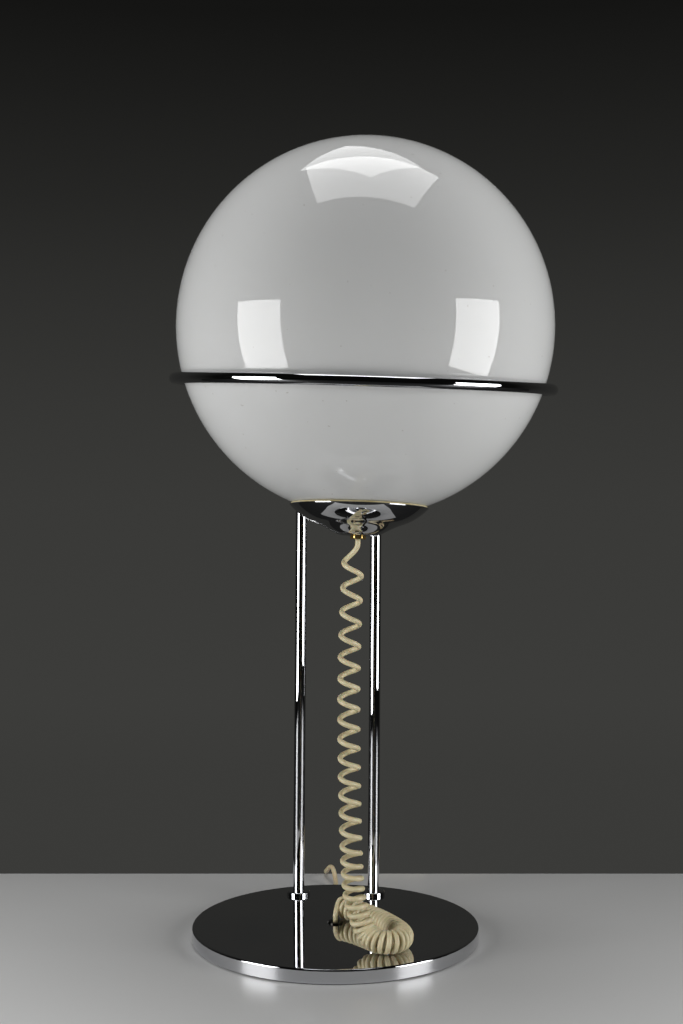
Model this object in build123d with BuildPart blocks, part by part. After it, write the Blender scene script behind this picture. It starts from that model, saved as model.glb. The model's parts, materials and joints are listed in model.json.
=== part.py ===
"""Glass globe table lamp: an opal globe resting in a chromed hoop on two slim legs and a heavy round base.

Millimetres, +Z up. The origin is the centre of the base's underside, -Y is the front.
The globe, its cap and the lampholder are drawn about one tilted axis through the globe's centre.
"""

import os
from bisect import bisect_right
from math import ceil, cos, dist, pi, radians, sin, sqrt, tan

from build123d import *

# ---- Fits and gaps ----
fit_gap = 0.1  # fixed pieces that slide into each other
thread_gap = 0.05  # screws in their threads
glide_gap = 0.3  # faces of pieces that turn or tilt past each other
clear_gap = 0.6  # loose holes for cords

# ---- Base ----
base_d = 280.0
base_t = 13.0
base_edge_r = 2.0
felt_t = 1.0
felt_inset = 2.0
grommet_bore = 7.0
grommet_d = 15.0
grommet_lip = 1.6
grommet_hub = 10.0

# ---- Legs ----
leg_d = 12.0
leg_wall = 1.5
leg_half_spacing = 39.3
foot_setback = 101.0  # the feet stand this far behind the base's centre
socket_depth = 4.0
foot_d = 24.0
foot_t = 4.0
plug_length = 20.0
bolt_d = 6.0
bolt_head_d = 10.0
bolt_head_h = 3.6
bolt_length = 18.0
washer_d = 12.0
washer_t = 1.0
bolt_recess_d = 13.5
bolt_recess_depth = 6.0
bolt_hex = 5.0

# ---- Hoop: it sags a little to the front and to one side, and is turned on its legs ----
hoop_drop = 51.8  # the hoop lies this far under the globe's centre
hoop_rod_d = 10.0
hoop_height = 536.0  # the hoop's centre above the table
head_yaw = 7.5
hoop_sag = 3.5
hoop_roll = 1.8
leg_lean = 4.0  # the leg tops stand this far to the right of the feet
saddle_h = 2.0
hoop_screw_d = 4.0
hoop_screw_head_d = 7.4
hoop_screw_length = 18.0
pad_t = 2.2
pad_d = 7.0
pad_angles = (90.0, 210.0, 330.0)

# ---- Globe ----
globe_d = 350.0
glass_t = 3.0
opening_d = 104.0
globe_pitch = 4.0  # the cap is swung this far to the front
globe_roll = 2.0  # and this far to the left

# ---- Cap under the globe ----
cap_d = 128.0
cap_depth = 27.5
cap_wall = 1.0
cap_floor_r = 21.0
cap_floor_fillet = 40.0
cap_lip_h = 1.0
cap_lip_fillet = 1.4
cap_shoulder_in = 2.8  # the shoulder lies this far inside the rim
cap_shoulder_h = 4.5  # and this far under it
cap_shoulder_fillet = 12.0
gasket_t = 2.0
gasket_w = 4.0
nipple_d = 10.0
nipple_bore = 7.0
nut_flats = 13.0
nut_t = 3.0
inner_nut_flats = 15.0
inner_nut_t = 4.0
cap_washer_d = 20.0
cap_washer_t = 1.2
bar_length = 118.0
bar_w = 14.0
bar_t = 1.5

# ---- Lampholder and bulb ----
holder_d = 38.0
holder_neck_d = 24.0
holder_wall = 3.0
holder_height = 44.0
holder_dome_h = 12.0
holder_floor_t = 3.0
insert_floor_t = 2.0
contact_l = 23.0
contact_w = 7.0
contact_t = 0.8
ring_d = 44.0
ring_h = 6.0
ring_drop = 4.0  # under the holder's mouth
screw_cap_d = 26.4
screw_cap_h = 24.0
screw_ridges = 6
screw_ridge_depth = 0.7
screw_cap_wall = 0.6
screw_cap_end_r = 9.2
tip_d = 9.0
tip_h = 2.4
bulb_d = 60.0
bulb_neck_d = 27.0
bulb_neck_l = 6.0
bulb_length = 82.0  # from the metal cap to the top of the glass
bulb_glass_t = 0.8

# ---- Cords ----
wire_d = 4.8
curl_outer_d = 21.5
tight_gap = 0.6  # left between the turns of the heap
top_pitch = 23.5
foot_pitch = 15.5
column_length = 262.0
slump_pitch = 7.6
slump_length = 62.0  # past the column's end, as the next three are
tight_from = 150.0
tight_to = 228.0
loose_from = 243.0
loose_pitch = 7.6
lead_d = 5.0
channel_w = 7.0
channel_h = 7.0
sleeve_length = 22.0
sleeve_inside = 12.0
sleeve_d = 8.0
sleeve_tip_d = 6.2
clamp_l = 24.0
clamp_w = 10.0
clamp_t = 1.0
clamp_setback = 45.0
clamp_screw_d = 3.0
clamp_screw_pitch = 16.0
clamp_screw_length = 7.0

# ---- In-line switch, coil and plug ----
switch_length = 60.0
switch_w = 27.0
switch_h = 15.0
switch_corner = 6.0
rocker_length = 18.0
rocker_w = 10.0
rocker_rise = 2.2
rocker_dish = 0.9  # depth of the hollow in its top
rocker_swing = 7.0
pivot_d = 2.0
pivot_depth = 1.5  # the rocker's pin lies this far under the switch's top
pocket_depth = 6.5
straight_end = 14.0  # of the lead, square to the switch, the coil and the plug
coil_reach = 48.0  # from the switch to the middle of the coil
plug_reach = 44.0  # from the coil's end to the plug
coil_mid_r = 30.0
coil_turns = 3.5  # in each of its two layers
coil_gap = 0.7
coil_dip = 1.0  # the climbing half turn swings this far inwards, clear of its neighbours
plug_w = 35.3
plug_h = 13.7
plug_l = 36.0
plug_nose = 9.0
pin_d = 4.0
pin_l = 19.0
pin_pitch = 18.6
pin_root_d = 3.0  # inside the plug
pin_root_l = 11.0
relief_length = 8.0
relief_d = 8.0

# ---- Heights and frames that follow from these ----
base_top = felt_t + base_t
globe_r = globe_d / 2
rod_r = hoop_rod_d / 2
leg_r = leg_d / 2
leg_bore_r = leg_r - leg_wall
lead_z = felt_t + channel_h / 2 + 0.1
# the globe rests on the pads, so its size and the drop set the hoop's radius, to the rod's centre
hoop_r = sqrt((globe_r + glide_gap + pad_t + rod_r) ** 2 - hoop_drop**2)
leg_reach = sqrt(hoop_r**2 - leg_half_spacing**2)  # from the hoop's centre back to the leg tops

hoop_centre = (
    leg_lean + leg_reach * sin(radians(head_yaw)),
    foot_setback - leg_reach * cos(radians(head_yaw)),
    hoop_height,
)
hoop_plane = Plane(hoop_centre).rotated((0, 0, head_yaw)).rotated((hoop_sag, hoop_roll, 0))
globe_centre = hoop_plane.from_local_coords(Vector(0, 0, hoop_drop))
lamp_plane = Plane(globe_centre).rotated((-globe_pitch, globe_roll, 0))
lamp_axis = Axis(lamp_plane.origin, lamp_plane.z_dir)

rim_z = -sqrt((globe_r + gasket_t) ** 2 - (cap_d / 2 - cap_wall) ** 2)  # along the lamp's axis
cap_floor_z = rim_z - cap_depth
mouth_z = cap_floor_z - nut_t
bar_z = -sqrt((globe_r - glass_t) ** 2 - (bar_length / 2) ** 2 - (bar_w / 2) ** 2) + glide_gap
holder_z = bar_z + bar_t + inner_nut_t
nipple_top_z = holder_z + holder_floor_t + 2.0


def upright(frame):
    """The drawing plane through a frame's axis: its X runs outwards and its Y up the axis."""
    return Plane(origin=frame.origin, x_dir=frame.x_dir, z_dir=-frame.y_dir)


def along(frame, height):
    """The frame moved along its own axis."""
    return frame.offset(height)


def leg_plane(side):
    """Frame of one leg: its origin on the floor of the base's socket, its Z up the leg to the hoop's rod."""
    foot = Vector(side * leg_half_spacing, foot_setback, base_top - socket_depth)
    top = hoop_plane.from_local_coords(Vector(side * leg_half_spacing, leg_reach, 0))
    return Plane(origin=foot, z_dir=top - foot), (top - foot).length


def write(piece, name):
    piece.part.label = name
    export_step(piece.part, f"parts/{name}.step")


def corner_radii(points, share=0.45):
    """The arc that each corner of a route has room for, from a share of its shorter run."""
    radii = []
    for before, corner, after in zip(points, points[1:], points[2:]):
        arriving = Vector(*corner) - Vector(*before)
        leaving = Vector(*after) - Vector(*corner)
        half_turn = radians(arriving.get_angle(leaving)) / 2
        radii.append(share * min(arriving.length, leaving.length) / tan(half_turn))
    return radii


def report_tube(name, piece, path_length, diameter, radii):
    """Prints a cord's radii, and its volume against its section times its length."""
    section = pi * diameter**2 / 4
    print(name, "length", round(path_length, 1), "smallest radius", round(min(radii), 1))
    print(name, "volume ratio", round(piece.part.volume / (section * path_length), 4))


def report_wound(name, piece, wire, diameter, step=2.0):
    """Prints a wound tube's length, volume check and least gap, which points along it give."""
    count = int(wire.length / step)
    spots = [
        tuple(wire.position_at(wire.length * i / count, position_mode=PositionMode.LENGTH))
        for i in range(count + 1)
    ]
    skip = ceil(pi * diameter / step) + 1
    closest = min(dist(a, b) for i, a in enumerate(spots) for b in spots[i + skip :])
    ratio = piece.part.volume / (pi * diameter**2 / 4 * wire.length)
    print(name, "length", round(wire.length), "volume ratio", round(ratio, 4))
    print(name, "least gap", round(closest - diameter, 2))


def biarc(start, start_tangent, end, end_tangent):
    """Two arcs that join two points and share their tangent where they meet."""
    t0 = start_tangent.normalized()
    t1 = end_tangent.normalized()
    chord = end - start
    both = t0 + t1
    spread = 2 * (1 - t0.dot(t1))
    reach = chord.dot(both)
    if spread < 1e-9:
        arm = chord.dot(chord) / (2 * reach)
    else:
        arm = (sqrt(reach**2 + spread * chord.dot(chord)) - reach) / spread
    corner0 = start + t0 * arm
    corner1 = end - t1 * arm
    middle = (corner0 + corner1) / 2
    TangentArc(start, middle, tangent=t0)
    TangentArc(middle, end, tangent=corner1 - corner0)


def wound_line(ends, places, directions):
    """A line of biarcs through the places, with a straight end before the first and after the last."""
    before, after = ends
    Line(before, places[0])
    steps = zip(places, directions, places[1:], directions[1:])
    for place, direction, next_place, next_direction in steps:
        biarc(place, direction, next_place, next_direction)
    Line(places[-1], after)


os.makedirs("parts", exist_ok=True)
legs = [leg_plane(side) for side in (-1, 1)]

# ================= Base =================

with BuildPart() as base_plate:
    with BuildSketch(Plane.XY.offset(felt_t)):
        Circle(base_d / 2)
    extrude(amount=base_t)
    fillet(base_plate.edges().group_by(Axis.Z)[-1], base_edge_r)
    chamfer(base_plate.edges().group_by(Axis.Z)[0], base_edge_r / 4)
    # hole for the grommet, and the channel that leads the cord to the back edge
    with BuildSketch(Plane.XY.offset(felt_t)):
        Circle(grommet_hub / 2 + fit_gap)
    extrude(amount=base_t, mode=Mode.SUBTRACT)
    with BuildSketch(Plane.XY.offset(felt_t)):
        with Locations((0, base_d / 4)):
            Rectangle(channel_w, base_d / 2 + channel_w)
        with Locations((0, clamp_setback)):
            Rectangle(clamp_l + 1, clamp_w + 1)
    extrude(amount=clamp_t + fit_gap, mode=Mode.SUBTRACT)
    with BuildSketch(Plane.XY.offset(felt_t)):
        with Locations((0, base_d / 4)):
            Rectangle(channel_w, base_d / 2 + channel_w)
    extrude(amount=channel_h, mode=Mode.SUBTRACT)
    # tapped holes of the cord clamp
    with BuildSketch(Plane.XY.offset(felt_t)):
        with Locations((0, clamp_setback)):
            with GridLocations(clamp_screw_pitch, 0, 2, 1):
                Circle(clamp_screw_d / 2 + thread_gap)
    extrude(amount=clamp_screw_length + 1, mode=Mode.SUBTRACT)
    # each leg's socket from above, its bolt hole, and the recess for the bolt's head from below
    for plane, _ in legs:
        with BuildSketch(plane):
            Circle(leg_r + fit_gap)
        extrude(amount=socket_depth + 1, mode=Mode.SUBTRACT)
        with BuildSketch(plane):
            Circle(bolt_d / 2 + 4 * fit_gap)
        extrude(amount=-base_t, mode=Mode.SUBTRACT)
        with BuildSketch(along(plane, bolt_recess_depth + socket_depth - base_t)):
            Circle(bolt_recess_d / 2)
        extrude(amount=-base_t, mode=Mode.SUBTRACT)
write(base_plate, "base_plate")

with BuildPart() as base_felt:
    with BuildSketch():
        Circle(base_d / 2 - felt_inset)
        for plane, _ in legs:
            with Locations((plane.origin.X, plane.origin.Y)):
                Circle(bolt_recess_d / 2 + 1, mode=Mode.SUBTRACT)
    extrude(amount=felt_t)
write(base_felt, "base_felt")

with BuildPart() as base_grommet:
    with BuildSketch(Plane.XY.offset(base_top)):
        Circle(grommet_d / 2)
    extrude(amount=grommet_lip)
    fillet(base_grommet.edges().group_by(Axis.Z)[-1], grommet_lip / 2)
    with BuildSketch(Plane.XY.offset(base_top)):
        Circle(grommet_hub / 2)
    extrude(amount=-(base_t - channel_h) / 2)
    with BuildSketch(Plane.XY.offset(base_top + grommet_lip)):
        Circle(grommet_bore / 2)
    extrude(amount=-base_t, mode=Mode.SUBTRACT)
write(base_grommet, "base_grommet")

with BuildPart() as cord_clamp:
    with BuildSketch(Plane.XY.offset(felt_t)):
        with Locations((0, clamp_setback)):
            RectangleRounded(clamp_l, clamp_w, 2)
            with GridLocations(clamp_screw_pitch, 0, 2, 1):
                Circle(clamp_screw_d / 2 + fit_gap, mode=Mode.SUBTRACT)
    extrude(amount=clamp_t)
write(cord_clamp, "cord_clamp")

with BuildPart() as clamp_screws:
    with BuildSketch(Plane.XY.offset(felt_t)):
        with Locations((0, clamp_setback)):
            with GridLocations(clamp_screw_pitch, 0, 2, 1):
                Circle(clamp_screw_d / 2)
    extrude(amount=clamp_screw_length)
write(clamp_screws, "clamp_screws")

# ================= Legs =================

for (plane, reach), side_name in zip(legs, ("left", "right")):
    tube_length = reach - rod_r - saddle_h
    with BuildPart() as leg:
        with BuildSketch(plane):
            Circle(leg_r)
            Circle(leg_bore_r, mode=Mode.SUBTRACT)
        extrude(amount=tube_length)
    write(leg, f"leg_{side_name}")

    with BuildPart() as foot_flange:
        with BuildSketch(Plane.XY.offset(base_top)):
            with Locations((plane.origin.X, plane.origin.Y)):
                Circle(foot_d / 2)
        extrude(amount=foot_t)
        fillet(foot_flange.edges().group_by(Axis.Z)[-1], foot_t * 0.45)
        with BuildSketch(plane):
            Circle(leg_r + fit_gap)
        extrude(amount=socket_depth + foot_t + 1, mode=Mode.SUBTRACT)
    write(foot_flange, f"foot_flange_{side_name}")

with BuildPart() as leg_plugs:
    for plane, _ in legs:
        with BuildSketch(plane):
            Circle(leg_bore_r - thread_gap)
            Circle(bolt_d / 2 + thread_gap, mode=Mode.SUBTRACT)
        extrude(amount=plug_length)
write(leg_plugs, "leg_plugs")

with BuildPart() as leg_washers:
    for plane, _ in legs:
        with BuildSketch(along(plane, bolt_recess_depth + socket_depth - base_t)):
            Circle(washer_d / 2)
            Circle(bolt_d / 2 + fit_gap, mode=Mode.SUBTRACT)
        extrude(amount=-washer_t)
write(leg_washers, "leg_washers")

with BuildPart() as leg_bolts:
    for plane, _ in legs:
        head_plane = along(plane, bolt_recess_depth + socket_depth - base_t - washer_t)
        with BuildSketch(head_plane):
            Circle(bolt_d / 2)
        extrude(amount=bolt_length)
        with BuildSketch(head_plane):
            Circle(bolt_head_d / 2)
        extrude(amount=-bolt_head_h)
        with BuildSketch(along(head_plane, -bolt_head_h)):
            RegularPolygon(bolt_hex / 2, 6, major_radius=False)
        extrude(amount=bolt_head_h / 2, mode=Mode.SUBTRACT)
write(leg_bolts, "leg_bolts")

# ================= Hoop =================


with BuildPart() as screw_spaces:
    for plane, reach in legs:
        head_r = hoop_screw_head_d / 2 + fit_gap
        shank_r = hoop_screw_d / 2 + fit_gap
        with BuildSketch(upright(along(plane, reach))):
            with BuildLine():
                Polyline(
                    (0, -hoop_rod_d),
                    (shank_r, -hoop_rod_d),
                    (shank_r, rod_r - head_r + shank_r),
                    (head_r, rod_r),
                    (head_r, hoop_rod_d),
                    (0, hoop_rod_d),
                    close=True,
                )
            make_face()
        revolve(axis=Axis(plane.origin, plane.z_dir))

with BuildPart() as hoop:
    with BuildSketch(upright(hoop_plane)):
        with Locations((hoop_r, 0)):
            Circle(rod_r)
    revolve(axis=Axis(hoop_plane.origin, hoop_plane.z_dir))
    add(screw_spaces.part, mode=Mode.SUBTRACT)
write(hoop, "hoop")

with BuildPart() as rod_space:
    with BuildSketch(upright(hoop_plane)):
        with Locations((hoop_r, 0)):
            Circle(rod_r + thread_gap)
    revolve(axis=Axis(hoop_plane.origin, hoop_plane.z_dir))

with BuildPart() as hoop_saddles:
    for plane, reach in legs:
        with BuildSketch(along(plane, reach - rod_r - saddle_h)):
            Circle(leg_r)
        extrude(amount=rod_r + saddle_h)
        with BuildSketch(along(plane, reach - rod_r - saddle_h)):
            Circle(leg_bore_r - thread_gap)
        extrude(amount=-plug_length)
    add(rod_space.part, mode=Mode.SUBTRACT)
    for plane, reach in legs:
        with BuildSketch(along(plane, reach)):
            Circle(hoop_screw_d / 2 + thread_gap)
        extrude(amount=-(rod_r + saddle_h + plug_length), mode=Mode.SUBTRACT)
write(hoop_saddles, "hoop_saddles")

with BuildPart() as hoop_screws:
    for plane, reach in legs:
        head_r = hoop_screw_head_d / 2
        with BuildSketch(upright(along(plane, reach))):
            with BuildLine():
                Polyline(
                    (0, rod_r),
                    (head_r, rod_r),
                    (hoop_screw_d / 2, rod_r - head_r + hoop_screw_d / 2),
                    (hoop_screw_d / 2, rod_r - hoop_screw_length),
                    (0, rod_r - hoop_screw_length),
                    close=True,
                )
            make_face()
        revolve(axis=Axis(plane.origin, plane.z_dir))
write(hoop_screws, "hoop_screws")

with BuildPart() as globe_space:
    with Locations(Location(globe_centre)):
        Sphere(globe_r + glide_gap)

with BuildPart() as hoop_pads:
    for angle in pad_angles:
        rod_place = hoop_plane.from_local_coords(
            Vector(hoop_r * cos(radians(angle)), hoop_r * sin(radians(angle)), 0)
        )
        with BuildSketch(Plane(origin=rod_place, z_dir=globe_centre - rod_place)):
            Circle(pad_d / 2)
        extrude(amount=rod_r + pad_t + 1)
    add(globe_space.part, mode=Mode.SUBTRACT)
    add(rod_space.part, mode=Mode.SUBTRACT)
write(hoop_pads, "hoop_pads")

# ================= Globe =================

with BuildPart() as glass_globe:
    inner_r = globe_r - glass_t
    opening_r = opening_d / 2
    outer_start = (opening_r, -sqrt(globe_r**2 - opening_r**2))
    inner_start = (opening_r, -sqrt(inner_r**2 - opening_r**2))
    with BuildSketch(upright(lamp_plane)):
        with BuildLine():
            ThreePointArc(outer_start, (globe_r, 0), (0, globe_r))
            Line((0, globe_r), (0, inner_r))
            ThreePointArc((0, inner_r), (inner_r, 0), inner_start)
            Line(inner_start, outer_start)
        make_face()
    revolve(axis=lamp_axis)
write(glass_globe, "glass_globe")

# ================= Cap unit =================

with BuildPart() as cap_shell:
    cap_r = cap_d / 2
    with BuildSketch(upright(lamp_plane)):
        with BuildLine():
            FilletPolyline(
                (cap_r, rim_z),
                (cap_r, rim_z - cap_lip_h),
                (cap_r - cap_shoulder_in, rim_z - cap_shoulder_h),
                (cap_floor_r, cap_floor_z),
                (nipple_d / 2 + fit_gap, cap_floor_z),
                radius=(cap_lip_fillet, cap_shoulder_fillet, cap_floor_fillet),
            )
            offset(amount=cap_wall, side=Side.RIGHT)
        make_face()
    revolve(axis=lamp_axis)
write(cap_shell, "cap_shell")


def on_globe(radius, across):
    """Point of the drawing plane on a ball about the globe's centre, on its underside."""
    return (across, -sqrt(radius**2 - across**2))


with BuildPart() as cap_gasket:
    # a soft ring between the glass and the cap's rim, as wide as its two radii say
    gasket_outer = cap_d / 2
    gasket_inner = gasket_outer - gasket_w
    near_r = globe_r + glide_gap
    far_r = globe_r + gasket_t - fit_gap
    with BuildSketch(upright(lamp_plane)):
        with BuildLine():
            far = ThreePointArc(
                on_globe(far_r, gasket_inner),
                on_globe(far_r, gasket_outer - gasket_w / 2),
                on_globe(far_r, gasket_outer),
            )
            near = ThreePointArc(
                on_globe(near_r, gasket_outer),
                on_globe(near_r, gasket_outer - gasket_w / 2),
                on_globe(near_r, gasket_inner),
            )
            Line(far @ 1, near @ 0)
            Line(near @ 1, far @ 0)
        make_face()
    revolve(axis=lamp_axis)
write(cap_gasket, "cap_gasket")


def disc(frame, low, thickness, outer_d, bore_d):
    """A ring about the lamp's axis, added to the part being made."""
    with BuildSketch(along(frame, low)) as ring:
        Circle(outer_d / 2)
        Circle(bore_d / 2, mode=Mode.SUBTRACT)
    extrude(ring.sketch, amount=thickness)


def hex_nut(frame, low, thickness, flats, bore_d):
    """A six-sided nut about the lamp's axis, its corners turned off."""
    with BuildSketch(along(frame, low)) as hexagon:
        RegularPolygon(flats / 2, 6, major_radius=False)
        Circle(bore_d / 2, mode=Mode.SUBTRACT)
    extrude(hexagon.sketch, amount=thickness)
    crown = flats / 2 + 0.15
    with BuildSketch(upright(frame)) as turned:
        with BuildLine():
            Polyline(
                (bore_d / 4, low),
                (crown, low),
                (crown + 0.6, low + 0.6),
                (crown + 0.6, low + thickness - 0.6),
                (crown, low + thickness),
                (bore_d / 4, low + thickness),
                close=True,
            )
        make_face()
    revolve(turned.sketch, axis=lamp_axis, mode=Mode.INTERSECT)


threaded_bore = nipple_d + 2 * thread_gap
cap_inside_z = cap_floor_z + cap_wall

with BuildPart() as lock_nut:
    hex_nut(lamp_plane, mouth_z, nut_t, nut_flats, threaded_bore)
write(lock_nut, "lock_nut")

with BuildPart() as threaded_nipple:
    disc(lamp_plane, mouth_z, nipple_top_z - mouth_z, nipple_d, nipple_bore)
write(threaded_nipple, "threaded_nipple")

with BuildPart() as cap_washer:
    disc(lamp_plane, cap_inside_z, cap_washer_t, cap_washer_d, threaded_bore)
write(cap_washer, "cap_washer")

with BuildPart() as inner_nut:
    hex_nut(lamp_plane, cap_inside_z + cap_washer_t, inner_nut_t, inner_nut_flats, threaded_bore)
write(inner_nut, "inner_nut")

with BuildPart() as cross_bar:
    with BuildSketch(along(lamp_plane, bar_z)):
        RectangleRounded(bar_length, bar_w, bar_w * 0.3)
        Circle(threaded_bore / 2, mode=Mode.SUBTRACT)
    extrude(amount=bar_t)
write(cross_bar, "cross_bar")

with BuildPart() as bar_nut:
    hex_nut(lamp_plane, bar_z + bar_t, inner_nut_t, inner_nut_flats, threaded_bore)
write(bar_nut, "bar_nut")

# ================= Lampholder =================

socket_r = screw_cap_d / 2 + glide_gap
with BuildPart() as lampholder_shell:
    top_z = holder_z + holder_height
    floor_z = holder_z + holder_floor_t
    shell_r = holder_d / 2
    with BuildSketch(upright(lamp_plane)):
        with BuildLine():
            FilletPolyline(
                (threaded_bore / 2, holder_z),
                (holder_neck_d / 2, holder_z),
                (shell_r, holder_z + holder_dome_h),
                (shell_r, top_z),
                (shell_r - holder_wall, top_z),
                (shell_r - holder_wall, holder_z + holder_dome_h + 1),
                (holder_neck_d / 2 - 1, floor_z),
                (threaded_bore / 2, floor_z),
                radius=(2.0, 4.0, 0.6, 0.6, 3.0, 1.0),
            )
            Line((threaded_bore / 2, floor_z), (threaded_bore / 2, holder_z))
        make_face()
    revolve(axis=lamp_axis)
write(lampholder_shell, "lampholder_shell")

with BuildPart() as lampholder_ring:
    # knurled ring screwed on the holder's mouth
    ring_z = top_z - ring_h - ring_drop
    disc(lamp_plane, ring_z, ring_h, ring_d, holder_d + 2 * thread_gap)
    fillet(lampholder_ring.edges().filter_by(GeomType.CIRCLE).group_by(SortBy.RADIUS)[-1], 1.2)
write(lampholder_ring, "lampholder_ring")

screw_cap_z = holder_z + holder_height - screw_cap_h - 1
tip_z = screw_cap_z - tip_h
with BuildPart() as lampholder_insert:
    # porcelain insert that carries the contacts; the bulb's metal cap turns in its bore
    insert_r = holder_d / 2 - holder_wall - fit_gap
    insert_z = tip_z - glide_gap - contact_t - insert_floor_t
    disc(lamp_plane, insert_z, top_z - 2 - insert_z, 2 * insert_r, 2 * socket_r)
    disc(lamp_plane, insert_z, insert_floor_t, 2 * insert_r, wire_d + 2 * clear_gap)
write(lampholder_insert, "lampholder_insert")

with BuildPart() as lampholder_contact:
    # the middle contact under the bulb's tip, an arch of spring brass
    with BuildSketch(along(lamp_plane, insert_z + insert_floor_t)):
        Rectangle(contact_l, contact_w)
    extrude(amount=contact_t)
write(lampholder_contact, "lampholder_contact")

# ================= Bulb =================

with BuildPart() as bulb_cap:
    cap_outer = screw_cap_d / 2
    ridge = screw_cap_h / screw_ridges
    with BuildSketch(upright(lamp_plane)):
        with BuildLine():
            Line((0, screw_cap_z), (screw_cap_end_r, screw_cap_z))
            Line((screw_cap_end_r, screw_cap_z), (cap_outer - screw_ridge_depth, screw_cap_z + ridge))
            for turn in range(1, screw_ridges - 1):
                low = screw_cap_z + turn * ridge
                ThreePointArc(
                    (cap_outer - screw_ridge_depth, low),
                    (cap_outer, low + ridge / 2),
                    (cap_outer - screw_ridge_depth, low + ridge),
                )
            neck_z = screw_cap_z + (screw_ridges - 1) * ridge
            cap_top = screw_cap_z + screw_cap_h
            Line((cap_outer - screw_ridge_depth, neck_z), (cap_outer - screw_ridge_depth, cap_top))
            Line((cap_outer - screw_ridge_depth, cap_top), (0, cap_top))
            Line((0, cap_top), (0, screw_cap_z))
        make_face()
    revolve(axis=lamp_axis)
    with BuildSketch(along(lamp_plane, screw_cap_z + ridge)):
        Circle(cap_outer - screw_ridge_depth - screw_cap_wall)
    extrude(amount=screw_cap_h, mode=Mode.SUBTRACT)
write(bulb_cap, "bulb_cap")

with BuildPart() as bulb_tip:
    with BuildSketch(along(lamp_plane, tip_z)):
        Circle(tip_d / 2)
    extrude(amount=tip_h)
write(bulb_tip, "bulb_tip")

glass_low = screw_cap_z + screw_cap_h


def pear(shrink):
    """Half of the bulb's outline, a ball on a neck, drawn inwards by the glass's thickness or by none."""
    ball = bulb_d / 2 - shrink
    ball_z = glass_low + bulb_length - bulb_d / 2
    neck_r = bulb_neck_d / 2 - shrink
    low, high = radians(-25), radians(40)
    Line((0, glass_low), (neck_r, glass_low))
    neck = Line((neck_r, glass_low), (neck_r, glass_low + bulb_neck_l))
    shoulder = Spline(
        neck @ 1,
        (ball * cos(low), ball_z + ball * sin(low)),
        tangents=((0, 1), (-sin(low), cos(low))),
    )
    crown = (ball * cos(high), ball_z + ball * sin(high))
    ThreePointArc(shoulder @ 1, crown, (0, ball_z + ball))
    Line((0, ball_z + ball), (0, glass_low))


with BuildPart() as bulb_glass:
    for shrink, mode in ((0, Mode.ADD), (bulb_glass_t, Mode.SUBTRACT)):
        with BuildSketch(upright(lamp_plane)):
            with BuildLine():
                pear(shrink)
            make_face()
        revolve(axis=lamp_axis, mode=mode)
write(bulb_glass, "bulb_glass")

# ================= Cord inside the lamp and inside the base =================

with BuildPart() as feed_cord:
    with BuildSketch(along(lamp_plane, mouth_z)):
        Circle(wire_d / 2)
    extrude(amount=insert_z - mouth_z)
write(feed_cord, "feed_cord")

base_mouth_z = base_top + grommet_lip
base_exit = (0, base_d / 2 + sleeve_length, lead_z)
with BuildPart() as base_cord:
    with BuildLine() as base_route:
        FilletPolyline(
            (0, 0, base_mouth_z),
            (0, 0, lead_z),
            base_exit,
            radius=2 * wire_d - 1,
        )
    with BuildSketch(Plane(origin=base_route.line @ 0, z_dir=base_route.line % 0)):
        Circle(wire_d / 2)
    sweep()
write(base_cord, "base_cord")

with BuildPart() as lead_sleeve:
    rear = Plane(origin=(0, base_d / 2 + fit_gap, lead_z), z_dir=(0, 1, 0))
    with BuildSketch(rear):
        Circle(sleeve_d / 2)
    with BuildSketch(rear.offset(sleeve_length - fit_gap)):
        Circle(sleeve_tip_d / 2)
    loft()
    with BuildSketch(rear):
        Circle(sleeve_tip_d / 2)
    extrude(amount=-sleeve_inside)
    with BuildSketch(rear.offset(-sleeve_inside)):
        Circle(wire_d / 2 + thread_gap)
    extrude(amount=sleeve_inside + sleeve_length, mode=Mode.SUBTRACT)
write(lead_sleeve, "lead_sleeve")

# ================= Curly cord =================

coil_r = (curl_outer_d - wire_d) / 2
heap_z = base_top + curl_outer_d / 2 + 0.2
nut_mouth = lamp_plane.from_local_coords(Vector(0, 0, mouth_z))
curl_axis_points = (
    (17.0, -84.0, 382.0),
    (14.0, -84.0, 320.0),
    (12.3, -84.0, 246.0),
    (13.5, -84.0, 150.0),
    (14.8, -84.0, 105.0),
    (16.7, -84.0, 68.0),
    (19.5, -84.0, 54.0),
    (23.0, -84.0, 43.0),
    (27.0, -84.5, 33.5),
    (32.0, -87.5, heap_z + 2.5),
    (38.5, -94.5, heap_z),
    (46.5, -98.5, heap_z),
    (55.5, -97.5, heap_z),
    (62.8, -91.8, heap_z),
    (66.6, -83.0, heap_z),
    (66.6, -72.5, heap_z),
    (62.0, -57.0, heap_z),
    (52.5, -37.5, heap_z),
    (42.0, -19.5, heap_z),
    (31.0, -5.0, heap_z),
    (20.0, 6.0, heap_z),
    (10.5, 13.5, heap_z),
    (0.5, 18.0, heap_z + 0.5),
)


def pitch_at(distance):
    """Spacing of the turns: wide at the top, closing down the column, tight in the heap, then looser."""
    tight_pitch = wire_d + tight_gap
    stops = (
        (0.0, top_pitch),
        (column_length, foot_pitch),
        (column_length + slump_length, slump_pitch),
        (column_length + tight_from, tight_pitch),
        (column_length + tight_to, tight_pitch),
        (column_length + loose_from, loose_pitch),
    )
    for (low, start), (high, end) in zip(stops, stops[1:]):
        if distance <= high:
            return start + (end - start) * (distance - low) / (high - low)
    return loose_pitch


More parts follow.
